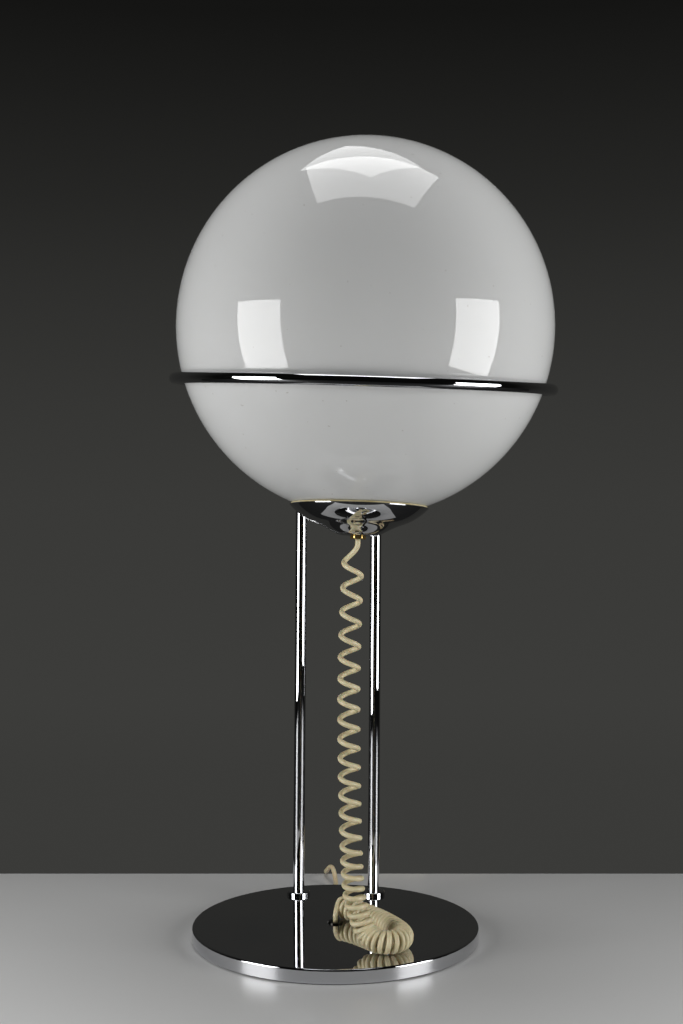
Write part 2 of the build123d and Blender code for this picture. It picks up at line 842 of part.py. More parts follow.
def carried_frames(guide, step):
    """Spots and directions along a guide, and a side direction carried along it without twist."""
    count = ceil(guide.length / step)
    sides = []
    spots = []
    ways = []
    side = Vector(1, 0, 0)
    for i in range(count + 1):
        distance = guide.length * i / count
        spots.append(guide.position_at(distance, position_mode=PositionMode.LENGTH))
        ways.append(guide.tangent_at(distance, position_mode=PositionMode.LENGTH))
        side = (side - ways[i] * side.dot(ways[i])).normalized()
        sides.append(side)
    return spots, ways, sides


def curl_angles(guide, ways, radius, look=4):
    """The helix's angle at each spot of its guide.

    Where the guide bends, the pitch opens, so that the turns keep their gap inside the bend.
    """
    span = guide.length / (len(ways) - 1)
    angles = [0.0]
    for i in range(len(ways) - 1):
        ahead = ways[min(i + look, len(ways) - 1)]
        behind = ways[max(i - look, 0)]
        bend = radians(behind.get_angle(ahead)) / (2 * look * span)
        least = (wire_d + tight_gap) / max(0.2, 1 - 1.08 * radius * bend)
        angles.append(angles[-1] + 2 * pi * span / max(pitch_at(i * span), least))
    return angles


with BuildLine() as curl_axis:
    FilletPolyline(*curl_axis_points, radius=corner_radii(curl_axis_points, 0.49))
curl_guide = curl_axis.wire()
curl_spots, curl_ways, curl_sides = carried_frames(curl_guide, 0.5)
curl_turned = curl_angles(curl_guide, curl_ways, coil_r)


def curl_place(angle):
    """The point of the left-handed helix at an angle, between the two nearest spots of its guide."""
    i = min(max(bisect_right(curl_turned, angle) - 1, 0), len(curl_turned) - 2)
    share = (angle - curl_turned[i]) / (curl_turned[i + 1] - curl_turned[i])
    spot = curl_spots[i] + (curl_spots[i + 1] - curl_spots[i]) * share
    way = (curl_ways[i] + (curl_ways[i + 1] - curl_ways[i]) * share).normalized()
    out = curl_sides[i] + (curl_sides[i + 1] - curl_sides[i]) * share
    out = (out - way * out.dot(way)).normalized()
    return spot + out * coil_r * cos(angle) - way.cross(out) * coil_r * sin(angle)


def heading(place, value, small=0.005):
    """Direction of a curve, from two points close to each other."""
    return (place(value + small) - place(value - small)).normalized()


first_angle = pi  # the wire joins the helix at its left side and leaves it at the top of a turn
end_angle = curl_turned[-1] - 1.5 * pi
half_turns = int((end_angle - first_angle) / pi)
curl_steps = [first_angle + pi * i for i in range(half_turns)] + [end_angle]
curl_mouth = Vector(0, 0, base_mouth_z)
curl_points = [nut_mouth - lamp_plane.z_dir * wire_d]
curl_points += [curl_place(angle) for angle in curl_steps]
curl_points += [curl_mouth + Vector(0, 0, wire_d)]
curl_headings = [-lamp_plane.z_dir]
curl_headings += [heading(curl_place, angle) for angle in curl_steps]
curl_headings += [Vector(0, 0, -1)]

with BuildPart() as curly_cord:
    with BuildLine() as curl_line:
        wound_line((nut_mouth, curl_mouth), curl_points, curl_headings)
    with BuildSketch(Plane(origin=nut_mouth, z_dir=-lamp_plane.z_dir)):
        Circle(wire_d / 2)
    sweep(path=curl_line.line)
write(curly_cord, "curly_cord")
print("curly_cord curls", round((end_angle - first_angle) / (2 * pi), 2))
report_wound("curly_cord", curly_cord, curl_line.wire(), wire_d)

# ================= Mains lead from the base to the switch =================

floor_z = lead_d / 2 + fit_gap
switch_z = switch_h / 2
lead_a_points = (
    base_exit,
    (0.0, 180.0, lead_z),
    (-3.0, 199.0, 16.5),
    (-7.0, 214.0, 16.5),
    (-12.0, 234.0, 3.6),
    (-10.5, 250.9, 2.8),
    (-2.0, 265.6, 3.2),
    (11.9, 275.4, 4.8),
    (28.5, 278.9, switch_z),
    (44.0, 278.9, switch_z),
)
switch_y = lead_a_points[-1][1]
switch_near_x = lead_a_points[-1][0]
switch_far_x = switch_near_x + switch_length
coil_pitch = lead_d + coil_gap
coil_outer_r = coil_mid_r + coil_pitch * coil_turns / 2
coil_centre = Vector(switch_far_x + coil_reach, switch_y + coil_outer_r, floor_z)


def coil_place(turned):
    """The point of the put-away coil after so many turns: in along the table, up, and out again."""
    climbed = min(max((turned - coil_turns) / 0.5, 0), 1)
    inwards = min(turned, coil_turns) - max(turned - coil_turns - 0.5, 0)
    radius = coil_outer_r - coil_pitch * inwards - coil_dip * sin(pi * climbed) ** 2
    angle = 2 * pi * turned - pi / 2
    rise = coil_pitch * climbed**2 * (3 - 2 * climbed)
    return coil_centre + Vector(radius * cos(angle), radius * sin(angle), rise)


coil_whole = 2 * coil_turns + 0.5
coil_steps = [i / 4 for i in range(int(4 * coil_whole) + 1)]
coil_points = [coil_place(turned) for turned in coil_steps]
coil_headings = [heading(coil_place, turned, 0.001) for turned in coil_steps]
coil_entry = coil_points[0] - coil_headings[0] * lead_d
coil_exit = coil_points[-1] + coil_headings[-1] * lead_d

with BuildPart() as mains_coil:
    with BuildLine() as coil_line:
        wound_line((coil_entry, coil_exit), coil_points, coil_headings)
    with BuildSketch(Plane(origin=coil_entry, z_dir=coil_headings[0])):
        Circle(lead_d / 2)
    sweep(path=coil_line.line)
write(mains_coil, "mains_coil")
report_wound("mains_coil", mains_coil, coil_line.wire(), lead_d)

lead_b_points = (
    (switch_far_x, switch_y, switch_z),
    (switch_far_x + straight_end, switch_y, switch_z),
    tuple(coil_entry - coil_headings[0] * straight_end),
    tuple(coil_entry),
)
plug_z = plug_h / 2
plug_face = coil_exit + coil_headings[-1] * plug_reach
plug_y = plug_face.Y
lead_c_points = (
    tuple(coil_exit),
    tuple(coil_exit + coil_headings[-1] * straight_end),
    (plug_face.X + straight_end, plug_y, plug_z),
    (plug_face.X, plug_y, plug_z),
)
for name, points in (
    ("mains_lead_a", lead_a_points),
    ("mains_lead_b", lead_b_points),
    ("mains_lead_c", lead_c_points),
):
    with BuildPart() as lead:
        with BuildLine() as route:
            FilletPolyline(*points, radius=corner_radii(points))
        with BuildSketch(Plane(origin=route.line @ 0, z_dir=route.line % 0)):
            Circle(lead_d / 2)
        sweep()
    write(lead, name)
    report_tube(name, lead, route.wire().length, lead_d, corner_radii(points))

# ================= Switch =================

switch_x = switch_near_x + switch_length / 2
pivot_z = switch_h - pivot_depth
rocker_plane = Plane((switch_x, switch_y, pivot_z), x_dir=(1, 0, 0), z_dir=(0, -1, 0))

with BuildPart() as switch_body:
    with BuildSketch():
        with Locations((switch_x, switch_y)):
            RectangleRounded(switch_length, switch_w, switch_corner)
    extrude(amount=switch_h)
    fillet(switch_body.edges().group_by(Axis.Z)[-1], 2.5)
    fillet(switch_body.edges().group_by(Axis.Z)[0], 1.0)
    with BuildSketch(Plane.XY.offset(switch_h)):
        with Locations((switch_x, switch_y)):
            Rectangle(rocker_length + 2 * rocker_dish, rocker_w + 2 * glide_gap)
    extrude(amount=-pocket_depth, mode=Mode.SUBTRACT)
    with BuildSketch(rocker_plane):
        Circle(pivot_d / 2 + thread_gap)
    extrude(amount=rocker_w / 2 + 4, both=True, mode=Mode.SUBTRACT)
write(switch_body, "switch_body")

with BuildPart() as rocker_pin:
    with BuildSketch(rocker_plane):
        Circle(pivot_d / 2)
    extrude(amount=rocker_w / 2 + 3.5, both=True)
write(rocker_pin, "rocker_pin")

with BuildPart() as switch_rocker:
    # stored switched off, tipped down at its near end
    swing = radians(rocker_swing)
    with BuildSketch(Plane(rocker_plane.origin, x_dir=(cos(swing), 0, sin(swing)), z_dir=(0, -1, 0))):
        with BuildLine():
            half = rocker_length / 2
            top = rocker_rise + pivot_depth
            foot = pivot_depth + pivot_d / 2 - pocket_depth + rocker_dish
            ThreePointArc((-half, top), (0, top - rocker_dish), (half, top))
            Polyline((half, top), (half - rocker_dish, foot), (rocker_dish - half, foot), (-half, top))
        make_face()
        Circle(pivot_d / 2 + thread_gap, mode=Mode.SUBTRACT)
    extrude(amount=rocker_w / 2, both=True)
write(switch_rocker, "switch_rocker")

with BuildPart() as switch_reliefs:
    for face_x, way in ((switch_near_x, -1), (switch_far_x, 1)):
        face = Plane(origin=(face_x, switch_y, switch_z), z_dir=(way, 0, 0))
        with BuildSketch(face):
            Circle(relief_d / 2)
        with BuildSketch(face.offset(relief_length)):
            Circle(sleeve_tip_d / 2)
        loft()
        with BuildSketch(face):
            Circle(lead_d / 2 + thread_gap)
        extrude(amount=relief_length, mode=Mode.SUBTRACT)
write(switch_reliefs, "switch_reliefs")

# ================= Plug =================

plug_plane = Plane(origin=(plug_face.X, plug_y, plug_z), x_dir=(0, 1, 0), z_dir=(-1, 0, 0))

with BuildPart() as plug_body:
    with BuildSketch(plug_plane):
        RectangleRounded(plug_w * 0.42, plug_h * 0.9, plug_h * 0.3)
    with BuildSketch(plug_plane.offset(plug_nose)):
        RectangleRounded(plug_w, plug_h, plug_h * 0.4)
    loft()
    with BuildSketch(plug_plane.offset(plug_nose)):
        RectangleRounded(plug_w, plug_h, plug_h * 0.4)
    extrude(amount=plug_l - plug_nose)
    with BuildSketch(plug_plane.offset(plug_l)):
        with GridLocations(pin_pitch, 0, 2, 1):
            Circle(pin_root_d / 2 + thread_gap)
    extrude(amount=-(pin_root_l + 1), mode=Mode.SUBTRACT)
write(plug_body, "plug_body")

with BuildPart() as plug_pins:
    with BuildSketch(plug_plane.offset(plug_l)):
        with GridLocations(pin_pitch, 0, 2, 1):
            Circle(pin_d / 2)
    extrude(amount=pin_l)
    fillet(plug_pins.edges().group_by(Axis.X)[0], pin_d * 0.3)
    with BuildSketch(plug_plane.offset(plug_l)):
        with GridLocations(pin_pitch, 0, 2, 1):
            Circle(pin_root_d / 2)
    extrude(amount=-pin_root_l)
write(plug_pins, "plug_pins")

with BuildPart() as plug_relief:
    with BuildSketch(plug_plane):
        Circle(relief_d / 2)
    with BuildSketch(plug_plane.offset(-relief_length)):
        Circle(sleeve_tip_d / 2)
    loft()
    with BuildSketch(plug_plane):
        Circle(lead_d / 2 + thread_gap)
    extrude(amount=-relief_length, mode=Mode.SUBTRACT)
write(plug_relief, "plug_relief")

# ================= Places that the record repeats =================

print("globe centre", globe_centre, "tilt axis", hoop_plane.x_dir)
print("lamp axis", lamp_plane.z_dir, "nut mouth", nut_mouth)
print("rocker pivot", rocker_plane.origin, "coil centre", coil_centre, "plug face", plug_face)
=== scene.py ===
# %% [markdown]
# # A glass globe lamp
# The lamp is a white glass ball in a chromed hoop, on two thin legs and a heavy round base.
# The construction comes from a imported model, which is loaded first and never moved. Blender adds
# what the eye sees: polished chrome, opal glass, the curly cord, the mains lead and the light.
# Every length is in metres. The origin is the middle of the base's underside, and -Y is the front.

import json
from math import atan2, cos, pi, radians, sin, sqrt, tan

import bmesh
import bpy
import numpy as np
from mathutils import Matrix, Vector

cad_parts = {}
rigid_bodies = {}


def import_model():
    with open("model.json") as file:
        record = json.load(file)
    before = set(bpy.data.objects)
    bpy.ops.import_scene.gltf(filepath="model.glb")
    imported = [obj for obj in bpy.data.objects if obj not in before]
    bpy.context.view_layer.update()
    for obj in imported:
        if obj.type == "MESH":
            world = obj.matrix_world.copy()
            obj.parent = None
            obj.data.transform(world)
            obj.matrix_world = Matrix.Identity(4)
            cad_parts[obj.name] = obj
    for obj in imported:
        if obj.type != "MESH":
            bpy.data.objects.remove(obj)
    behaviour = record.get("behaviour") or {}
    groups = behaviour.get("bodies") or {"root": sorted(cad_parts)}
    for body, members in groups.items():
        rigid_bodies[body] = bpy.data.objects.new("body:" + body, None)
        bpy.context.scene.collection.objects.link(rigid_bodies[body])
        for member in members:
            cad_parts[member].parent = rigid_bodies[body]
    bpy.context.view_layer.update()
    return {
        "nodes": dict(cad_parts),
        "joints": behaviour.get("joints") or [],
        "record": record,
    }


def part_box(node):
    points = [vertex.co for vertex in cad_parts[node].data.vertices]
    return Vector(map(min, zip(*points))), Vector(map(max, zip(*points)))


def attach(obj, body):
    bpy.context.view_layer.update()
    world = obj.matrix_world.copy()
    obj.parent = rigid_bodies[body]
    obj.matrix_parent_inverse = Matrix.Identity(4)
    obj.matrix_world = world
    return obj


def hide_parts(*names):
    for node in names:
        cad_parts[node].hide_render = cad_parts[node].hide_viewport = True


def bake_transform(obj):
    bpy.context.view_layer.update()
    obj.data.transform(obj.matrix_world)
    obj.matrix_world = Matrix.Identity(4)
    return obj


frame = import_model()

# %% [markdown]
# ## Camera
# The photographer stood level with the lamp's waist. A level camera keeps the legs upright, and a
# small shift puts the horizon where the picture has it, so nothing has to be tilted. The lens is
# worked out from the focal length in pixels of a picture 1024 high.

# %% Camera
PICTURE_HEIGHT = 1024
FOCAL_PIXELS = 1430
HORIZON_ROW = 498
SENSOR = 36.0
CAMERA_PLACE = (0.0059, -1.4015, 0.4302)

camera_data = bpy.data.cameras.new("camera")
camera_data.sensor_width = SENSOR
camera_data.lens = FOCAL_PIXELS / PICTURE_HEIGHT * SENSOR
camera_data.shift_y = (HORIZON_ROW - PICTURE_HEIGHT / 2) / PICTURE_HEIGHT
camera = bpy.data.objects.new("camera", camera_data)
camera.location = CAMERA_PLACE
camera.rotation_euler = (pi / 2, 0, 0)
bpy.context.scene.collection.objects.link(camera)
bpy.context.scene.camera = camera
bpy.context.scene.view_settings.view_transform = "Standard"
print("lens", round(camera_data.lens, 2), "shift", round(camera_data.shift_y, 4))

# %% [markdown]
# ## Grids that become meshes
# Almost every piece of this lamp is turned or bent from a round section, so two shapes of surface
# are enough: a profile turned about an axis, and a circle carried along a path. Both are a grid of
# points worked out with numpy. One helper turns a grid into a mesh with a UV map, closes its seams
# and poles by merging doubled points, and makes its faces point outwards.


# %% From a grid to a mesh
def grid_corners(rows, columns, wrap_rows, wrap_columns):
    """Corner places (row, column) of each four-sided cell of a grid, not yet wrapped round."""
    r = np.arange(rows if wrap_rows else rows - 1)
    c = np.arange(columns if wrap_columns else columns - 1)
    r, c = (a.ravel() for a in np.meshgrid(r, c, indexing="ij"))
    return np.stack([r, r, r + 1, r + 1], 1), np.stack([c, c + 1, c + 1, c], 1)


def grid_mesh(name, grid, wrap_rows=False, wrap_columns=True, rows_at=None, ends=False):
    """A mesh of the grid's cells. U goes from 0 to 1 round the columns. V too, or it is rows_at."""
    rows, columns = grid.shape[:2]
    r, c = grid_corners(rows, columns, wrap_rows, wrap_columns)
    index = (r % rows) * columns + c % columns
    faces = [tuple(face) for face in index.tolist()]
    if ends:
        faces.append(tuple(range(columns))[::-1])
        faces.append(tuple(range((rows - 1) * columns, rows * columns)))
    mesh = bpy.data.meshes.new(name)
    mesh.from_pydata(grid.reshape(-1, 3).tolist(), [], faces)
    along = np.arange(rows + 1) / rows if rows_at is None else np.append(rows_at, rows_at[-1])
    uv = np.stack([c / columns, along[r]], -1).reshape(-1, 2)
    layer = mesh.uv_layers.new(name="UVMap")
    values = np.zeros((len(mesh.loops), 2), np.float32)
    values[: len(uv)] = uv
    layer.data.foreach_set("uv", values.ravel())
    return mesh


def finished(name, mesh, body, *nodes):
    """A smooth, closed piece that rides on a body and stands for those CAD nodes."""
    work = bmesh.new()
    work.from_mesh(mesh)
    bmesh.ops.remove_doubles(work, verts=work.verts, dist=1e-6)
    bmesh.ops.dissolve_degenerate(work, edges=work.edges, dist=1e-7)
    bmesh.ops.recalc_face_normals(work, faces=work.faces)
    work.to_mesh(mesh)
    work.free()
    mesh.polygons.foreach_set("use_smooth", np.ones(len(mesh.polygons), bool))
    piece = bpy.data.objects.new(name, mesh)
    bpy.context.scene.collection.objects.link(piece)
    if body:
        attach(piece, body)
    if nodes:
        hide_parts(*nodes)
    print(name, len(mesh.polygons), "faces")
    return piece


def surface(name, grid, body, *nodes, **how):
    """A finished piece whose surface is a grid."""
    return finished(name, grid_mesh(name, grid, **how), body, *nodes)


# %% [markdown]
# ## Turned pieces
# Polished metal shows every fault of its surface in what it mirrors. A sharp corner is therefore
# rounded with a small arc, and a flat face gets two extra rings close to the arc, so that the
# smooth shading of the corner can't bend the mirror image on the flat.

# %% Profiles with rounded corners
HOLD = 0.0002  # how far the extra rings lie from an arc


def rounded(corners, radii, steps=8):
    """Points of an outline whose inner corners are arcs.

    An arc of radius r at a corner with turn a starts r tan(a / 2) before the corner. Its points are
    the centre plus r times (cos, sin) of angles that run evenly over the turn.
    """
    corners = np.array(corners, float)
    points = [corners[0]]
    for before, corner, after, radius in zip(corners, corners[1:], corners[2:], radii):
        arriving = (corner - before) / np.linalg.norm(corner - before)
        leaving = (after - corner) / np.linalg.norm(after - corner)
        cross = arriving[0] * leaving[1] - arriving[1] * leaving[0]
        turn = atan2(cross, arriving @ leaving)
        reach = radius * tan(abs(turn) / 2)
        side = np.sign(turn) * np.array([-arriving[1], arriving[0]])
        centre = corner - arriving * reach + side * radius
        start = atan2(-side[1], -side[0])
        angles = start + turn * np.linspace(0, 1, steps)
        arc = centre + radius * np.stack([np.cos(angles), np.sin(angles)], 1)
        points += [arc[0] - arriving * HOLD, *arc, arc[-1] + leaving * HOLD]
    points.append(corners[-1])
    return np.array(points)


def turned(profile, origin, axis, segments=160):
    """A profile (r, h) turned about an axis, as a grid: origin + r (cos t, sin t) + h along it."""
    axis = Vector(axis).normalized()
    side = Vector((1, 0, 0))
    side = (side - axis * side.dot(axis)).normalized()
    across = axis.cross(side)
    angles = np.linspace(0, 2 * pi, segments, endpoint=False)
    ring = np.cos(angles)[:, None] * np.array(side) + np.sin(angles)[:, None] * np.array(across)
    r, h = np.asarray(profile)[:, 0], np.asarray(profile)[:, 1]
    return np.array(origin) + r[:, None, None] * ring + h[:, None, None] * np.array(axis)


# %% [markdown]
# ## Where things are
# The joints of the frame say where the ball's middle is and how the lamp's axis leans: this lamp
# has settled a little to one side, as a real one does. The hoop's middle is the middle of its box,
# and its axis points from there to the ball's middle, because the ball rests evenly on the hoop.

# %% Places from the frame
joints = {joint["name"]: joint for joint in frame["joints"]}
BALL_CENTRE = Vector(joints["globe_tilt"]["pos_m"])
LAMP_AXIS = Vector(joints["cap_turn"]["axis"]).normalized()
ball_low, ball_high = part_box("glass_globe")
BALL_R = (ball_high.x - ball_low.x) / 2
hoop_low, hoop_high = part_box("hoop")
HOOP_CENTRE = (hoop_low + hoop_high) / 2
HOOP_AXIS = (BALL_CENTRE - HOOP_CENTRE).normalized()
plate_low, plate_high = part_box("base_plate")
BASE_R = (plate_high.x - plate_low.x) / 2
BASE_TOP = plate_high.z
print("ball", [round(v, 4) for v in BALL_CENTRE], "radius", round(BALL_R, 4))
print("hoop", [round(v, 4) for v in HOOP_CENTRE], "base top", round(BASE_TOP, 4))

# %% [markdown]
# ## Base
# A steel disc, ground flat, polished and chromed. Its top is a mirror, so only its edge shows that
# it is there: a rounding of two millimetres that catches a thin bright line.

# %% Base plate
EDGE_R = 0.002
UNDER_EDGE_R = 0.0005

base_profile = rounded(
    [(0, plate_low.z), (BASE_R, plate_low.z), (BASE_R, BASE_TOP), (0, BASE_TOP)],
    [UNDER_EDGE_R, EDGE_R],
    steps=10,
)
base_grid = turned(base_profile, (0, 0, 0), (0, 0, 1), segments=320)
base_plate = surface("base_disc", base_grid, "stand", "base_plate")

# %% [markdown]
# ## Legs and their feet
# Two chromed tubes. Each stands in a low turned collar whose top edge is rounded.
# The legs lean very slightly, so each one's axis is read from the ends of its CAD tube.

# %% Legs
LEG_R = 0.006
FOOT_R = 0.012
FOOT_H = 0.004
FOOT_ROUND = 0.0014


def tube_axis(node):
    """Middle points of a straight tube's two ends, from its lowest and highest points."""
    spots = np.array([v.co for v in frame["nodes"][node].data.vertices])
    low = spots[spots[:, 2] < spots[:, 2].min() + 0.001].mean(0)
    high = spots[spots[:, 2] > spots[:, 2].max() - 0.001].mean(0)
    return Vector(low), Vector(high)


def collar_profile(inner_r, outer_r, height, rounding):
    """Outline of a ring that stands on the base, with its outer top edge rounded."""
    corners = [(inner_r, 0), (outer_r, 0), (outer_r, height), (inner_r, height), (inner_r, 0)]
    return rounded(corners, [0.0002, rounding, 0.0004], steps=12)


for side in ("left", "right"):
    foot, top = tube_axis(f"leg_{side}")
    way = (top - foot).normalized()
    reach = (top - foot).length
    leg_profile = [(0, 0)] + [(LEG_R, h) for h in (0, HOLD, reach - HOLD, reach)] + [(0, reach)]
    grid = turned(leg_profile, foot, way, segments=96)
    surface(f"leg_tube_{side}", grid, "stand", f"leg_{side}")
    spot = foot + way * ((BASE_TOP - foot.z) / way.z)
    profile = collar_profile(LEG_R + 0.00005, FOOT_R, FOOT_H, FOOT_ROUND)
    grid = turned(profile, (spot.x, spot.y, BASE_TOP), (0, 0, 1), segments=96)
    surface(f"foot_collar_{side}", grid, "stand", f"foot_flange_{side}")

# %% [markdown]
# ## Hoop
# The hoop is a rod bent to a circle. As a surface it is a circle of 5 mm carried round a circle of
# 175 mm. It needs many steps, because the eye follows its white reflections all the way round.

# %% Hoop
ROD_R = 0.005
HOOP_R = ((hoop_high.x - hoop_low.x) / 2 - ROD_R) / sqrt(1 - HOOP_AXIS.x**2)


def ring_grid(centre, axis, ring_r, rod_r, steps, section):
    """Grid of a torus: the centre plus (R + r cos v) round the axis plus r sin v along it."""
    angles = np.linspace(0, 2 * pi, section, endpoint=False)
    profile = np.stack([ring_r + rod_r * np.cos(angles), rod_r * np.sin(angles)], 1)
    return turned(profile, centre, axis, steps)


hoop_grid = ring_grid(HOOP_CENTRE, HOOP_AXIS, HOOP_R, ROD_R, 400, 40)
hoop = surface("hoop_rod", hoop_grid, "stand", "hoop", wrap_rows=True)
print("hoop radius", round(HOOP_R, 4))

# %% [markdown]
# ## Glass globe
# Blown opal glass: a ball with a round opening underneath, 3 mm thick, its rim fire-polished. The
# profile is an outer arc, a half round at the rim and an inner arc back to the top.

# %% Globe
GLASS_T = 0.003
OPENING_R = 0.052


def globe_profile(outer_r, thickness, opening_r, arc_steps=150, rim_steps=9):
    """Half outline of a hollow ball: angles from the top to the opening, round its rim and back."""
    outer_end = pi - np.arcsin(opening_r / outer_r)
    inner_r = outer_r - thickness
    middle_r = outer_r - thickness / 2
    down = np.linspace(0, outer_end, arc_steps)
    outer = outer_r * np.stack([np.sin(down), np.cos(down)], 1)
    inner = inner_r * np.stack([np.sin(down), np.cos(down)], 1)[::-1]
    rim_centre = middle_r * np.array([sin(outer_end), cos(outer_end)])
    outwards = np.array([sin(outer_end), cos(outer_end)])
    along = np.array([cos(outer_end), -sin(outer_end)])
    swing = np.linspace(0, pi, rim_steps + 2)[1:-1, None]
    rim = rim_centre + thickness / 2 * (np.cos(swing) * outwards + np.sin(swing) * along)
    return np.concatenate([outer, rim, inner])


globe_grid = turned(globe_profile(BALL_R, GLASS_T, OPENING_R), BALL_CENTRE, LAMP_AXIS, segments=256)
globe = surface("opal_globe", globe_grid, "globe", "glass_globe")

# %% [markdown]
# ## Cap
# A spun dish of thin chromed metal closes the globe's opening. From the middle outwards its slope
# grows, eases and grows again, and that decides what it mirrors. Between its rim and the glass lies
# a soft ring that has yellowed. Both are turned about the lamp's own axis.

# %% Cap and its soft ring
CAP_R = 0.064
CAP_DEPTH = 0.0275
CAP_WALL = 0.001
CAP_WALL_SHARE = 0.95
CAP_HOLE_R = 0.0051
CAP_LIP = 0.0004
CAP_SLOPES = [  # radius, slope in degrees
    (0.0100, 0),
    (0.0120, 2),
    (0.0150, 6),
    (0.0180, 15),
    (0.0210, 24),
    (0.0240, 28),
    (0.0280, 28.5),
    (0.0320, 26),
    (0.0360, 22),
    (0.0400, 19.5),
    (0.0430, 20),
    (0.0448, 23.5),
    (0.0600, 41),
    (0.0640, 52),
]
RING_T = 0.002
RING_W = 0.004
RING_INSET = 0.0012
rim_h = -sqrt((BALL_R + RING_T) ** 2 - (CAP_R - CAP_WALL) ** 2)
floor_h = rim_h - CAP_DEPTH


def dish_profile():
    """Closed outline of the dish: down its outside to the middle hole, and back up its inside.

    The depth at a radius is the sum of tan(slope) dr from the rim inwards.
    """
    radii = np.linspace(CAP_R, CAP_HOLE_R, 120)
    slope = np.tan(np.radians(np.interp(radii, *np.transpose(CAP_SLOPES))))
    steps = -np.diff(radii) * (slope[1:] + slope[:-1]) / 2
    depth = np.concatenate([[0], np.cumsum(steps)]) * (CAP_DEPTH - CAP_LIP) / steps.sum()
    skirt = np.stack([radii, rim_h - CAP_LIP - depth], 1)
    lip = [(r, rim_h - CAP_LIP + 0.0001) for r in (CAP_R - CAP_WALL, CAP_R - 0.0001)]
    outside = np.concatenate([lip, skirt])
    along = np.gradient(outside, axis=0)
    normal = np.stack([along[:, 1], -along[:, 0]], 1)
    normal /= np.linalg.norm(normal, axis=1)[:, None]
    inside = (outside + normal * CAP_WALL * CAP_WALL_SHARE)[::-1]
    return np.concatenate([outside, inside, outside[:1]])


cap_grid = turned(dish_profile(), BALL_CENTRE, LAMP_AXIS, segments=200)
cap = surface("cap_dish", cap_grid, "cap_unit", "cap_shell")


def soft_ring_profile():
    """A bead between two balls about the globe's centre, its outer face a half round."""
    middle_r = BALL_R + RING_T / 2 + 0.0001
    outer = CAP_R - RING_INSET
    spots = outer - RING_W + RING_W * (1 - np.cos(np.linspace(0, pi, 14))) / 2
    share = (spots - outer + RING_W / 2) / (RING_W / 2)
    thickness = RING_T * 0.4 * np.sqrt(np.clip(1 - share**2, 0, 1))
    middle = np.stack([spots, -np.sqrt(middle_r**2 - spots**2)], 1)
    outwards = middle / middle_r
    under = middle + outwards * thickness[:, None]
    over = middle - outwards * thickness[:, None]
    return np.concatenate([under, over[::-1], under[:1]])


gasket_grid = turned(soft_ring_profile(), BALL_CENTRE, LAMP_AXIS, segments=160)
gasket = surface("soft_ring", gasket_grid, "cap_unit", "cap_gasket")

# %% [markdown]
# ## Round tubes along a path
# A cord is a circle carried along a line. The circle must not twist, so its side direction is
# carried from spot to spot: at each step the part of it that points along the cord is taken away.


# %% Paths and tubes
def smooth_line(points, resolution=24):
    """Points of the NURBS curve of order 3 that a route's points control, as Blender draws it."""
    data = bpy.data.curves.new("route", "CURVE")
    data.dimensions = "3D"
    spline = data.splines.new("NURBS")
    spline.points.add(len(points) - 1)
    flat = np.concatenate([np.array(points, float), np.ones((len(points), 1))], 1)
    spline.points.foreach_set("co", flat.ravel())
    spline.order_u = 3
    spline.use_endpoint_u = True
    spline.resolution_u = resolution
    route = bpy.data.objects.new("route", data)
    bpy.context.scene.collection.objects.link(route)
    line = bpy.data.meshes.new_from_object(route)
    spots = np.array([v.co for v in line.vertices])
    bpy.data.objects.remove(route)
    bpy.data.curves.remove(data)
    bpy.data.meshes.remove(line)
    return spots


def lengths_along(spots):
    """Distance along a line at each of its spots."""
    steps = np.linalg.norm(np.diff(spots, axis=0), axis=1)
    return np.concatenate([[0], np.cumsum(steps)])


def evenly(spots, step):
    """The same line with spots a steady distance apart."""
    at = lengths_along(spots)
    wanted = np.linspace(0, at[-1], int(round(at[-1] / step)) + 1)
    return np.stack([np.interp(wanted, at, spots[:, k]) for k in range(3)], 1)


def unit(vectors):
    return vectors / np.linalg.norm(vectors, axis=-1, keepdims=True)


def carried_sides(ways, first=(1.0, 0.0, 0.0)):
    """Side directions carried along a line without twist."""
    sides = np.zeros_like(ways)
    side = np.array(first)
    for i, way in enumerate(ways):
        side = side - way * (side @ way)
        side = side / np.linalg.norm(side)
        sides[i] = side
    return sides


def tube_grid(spots, radii, section=16):
    """Grid of a tube: each spot plus r (cos v side + sin v across)."""
    ways = unit(np.gradient(spots, axis=0))
    sides = carried_sides(ways)
    across = np.cross(ways, sides)
    angles = np.linspace(0, 2 * pi, section, endpoint=False)[None, :, None]
    radii = np.broadcast_to(radii, len(spots))[:, None, None]
    ring = np.cos(angles) * sides[:, None] + np.sin(angles) * across[:, None]
    return spots[:, None] + radii * ring


# %% [markdown]
# ## Curly cord
# The cord is wound to a helix that turns left. Its middle line, the guide, starts below the nut
# under the cap, hangs straight down, slumps to the right, turns back in a hook on the base and ends
# near the middle hole. The cord's own weight pulls the upper turns open, and the heap at the foot
# lies nearly closed. In the hook's bend the turns fan out outside and press on each other inside.

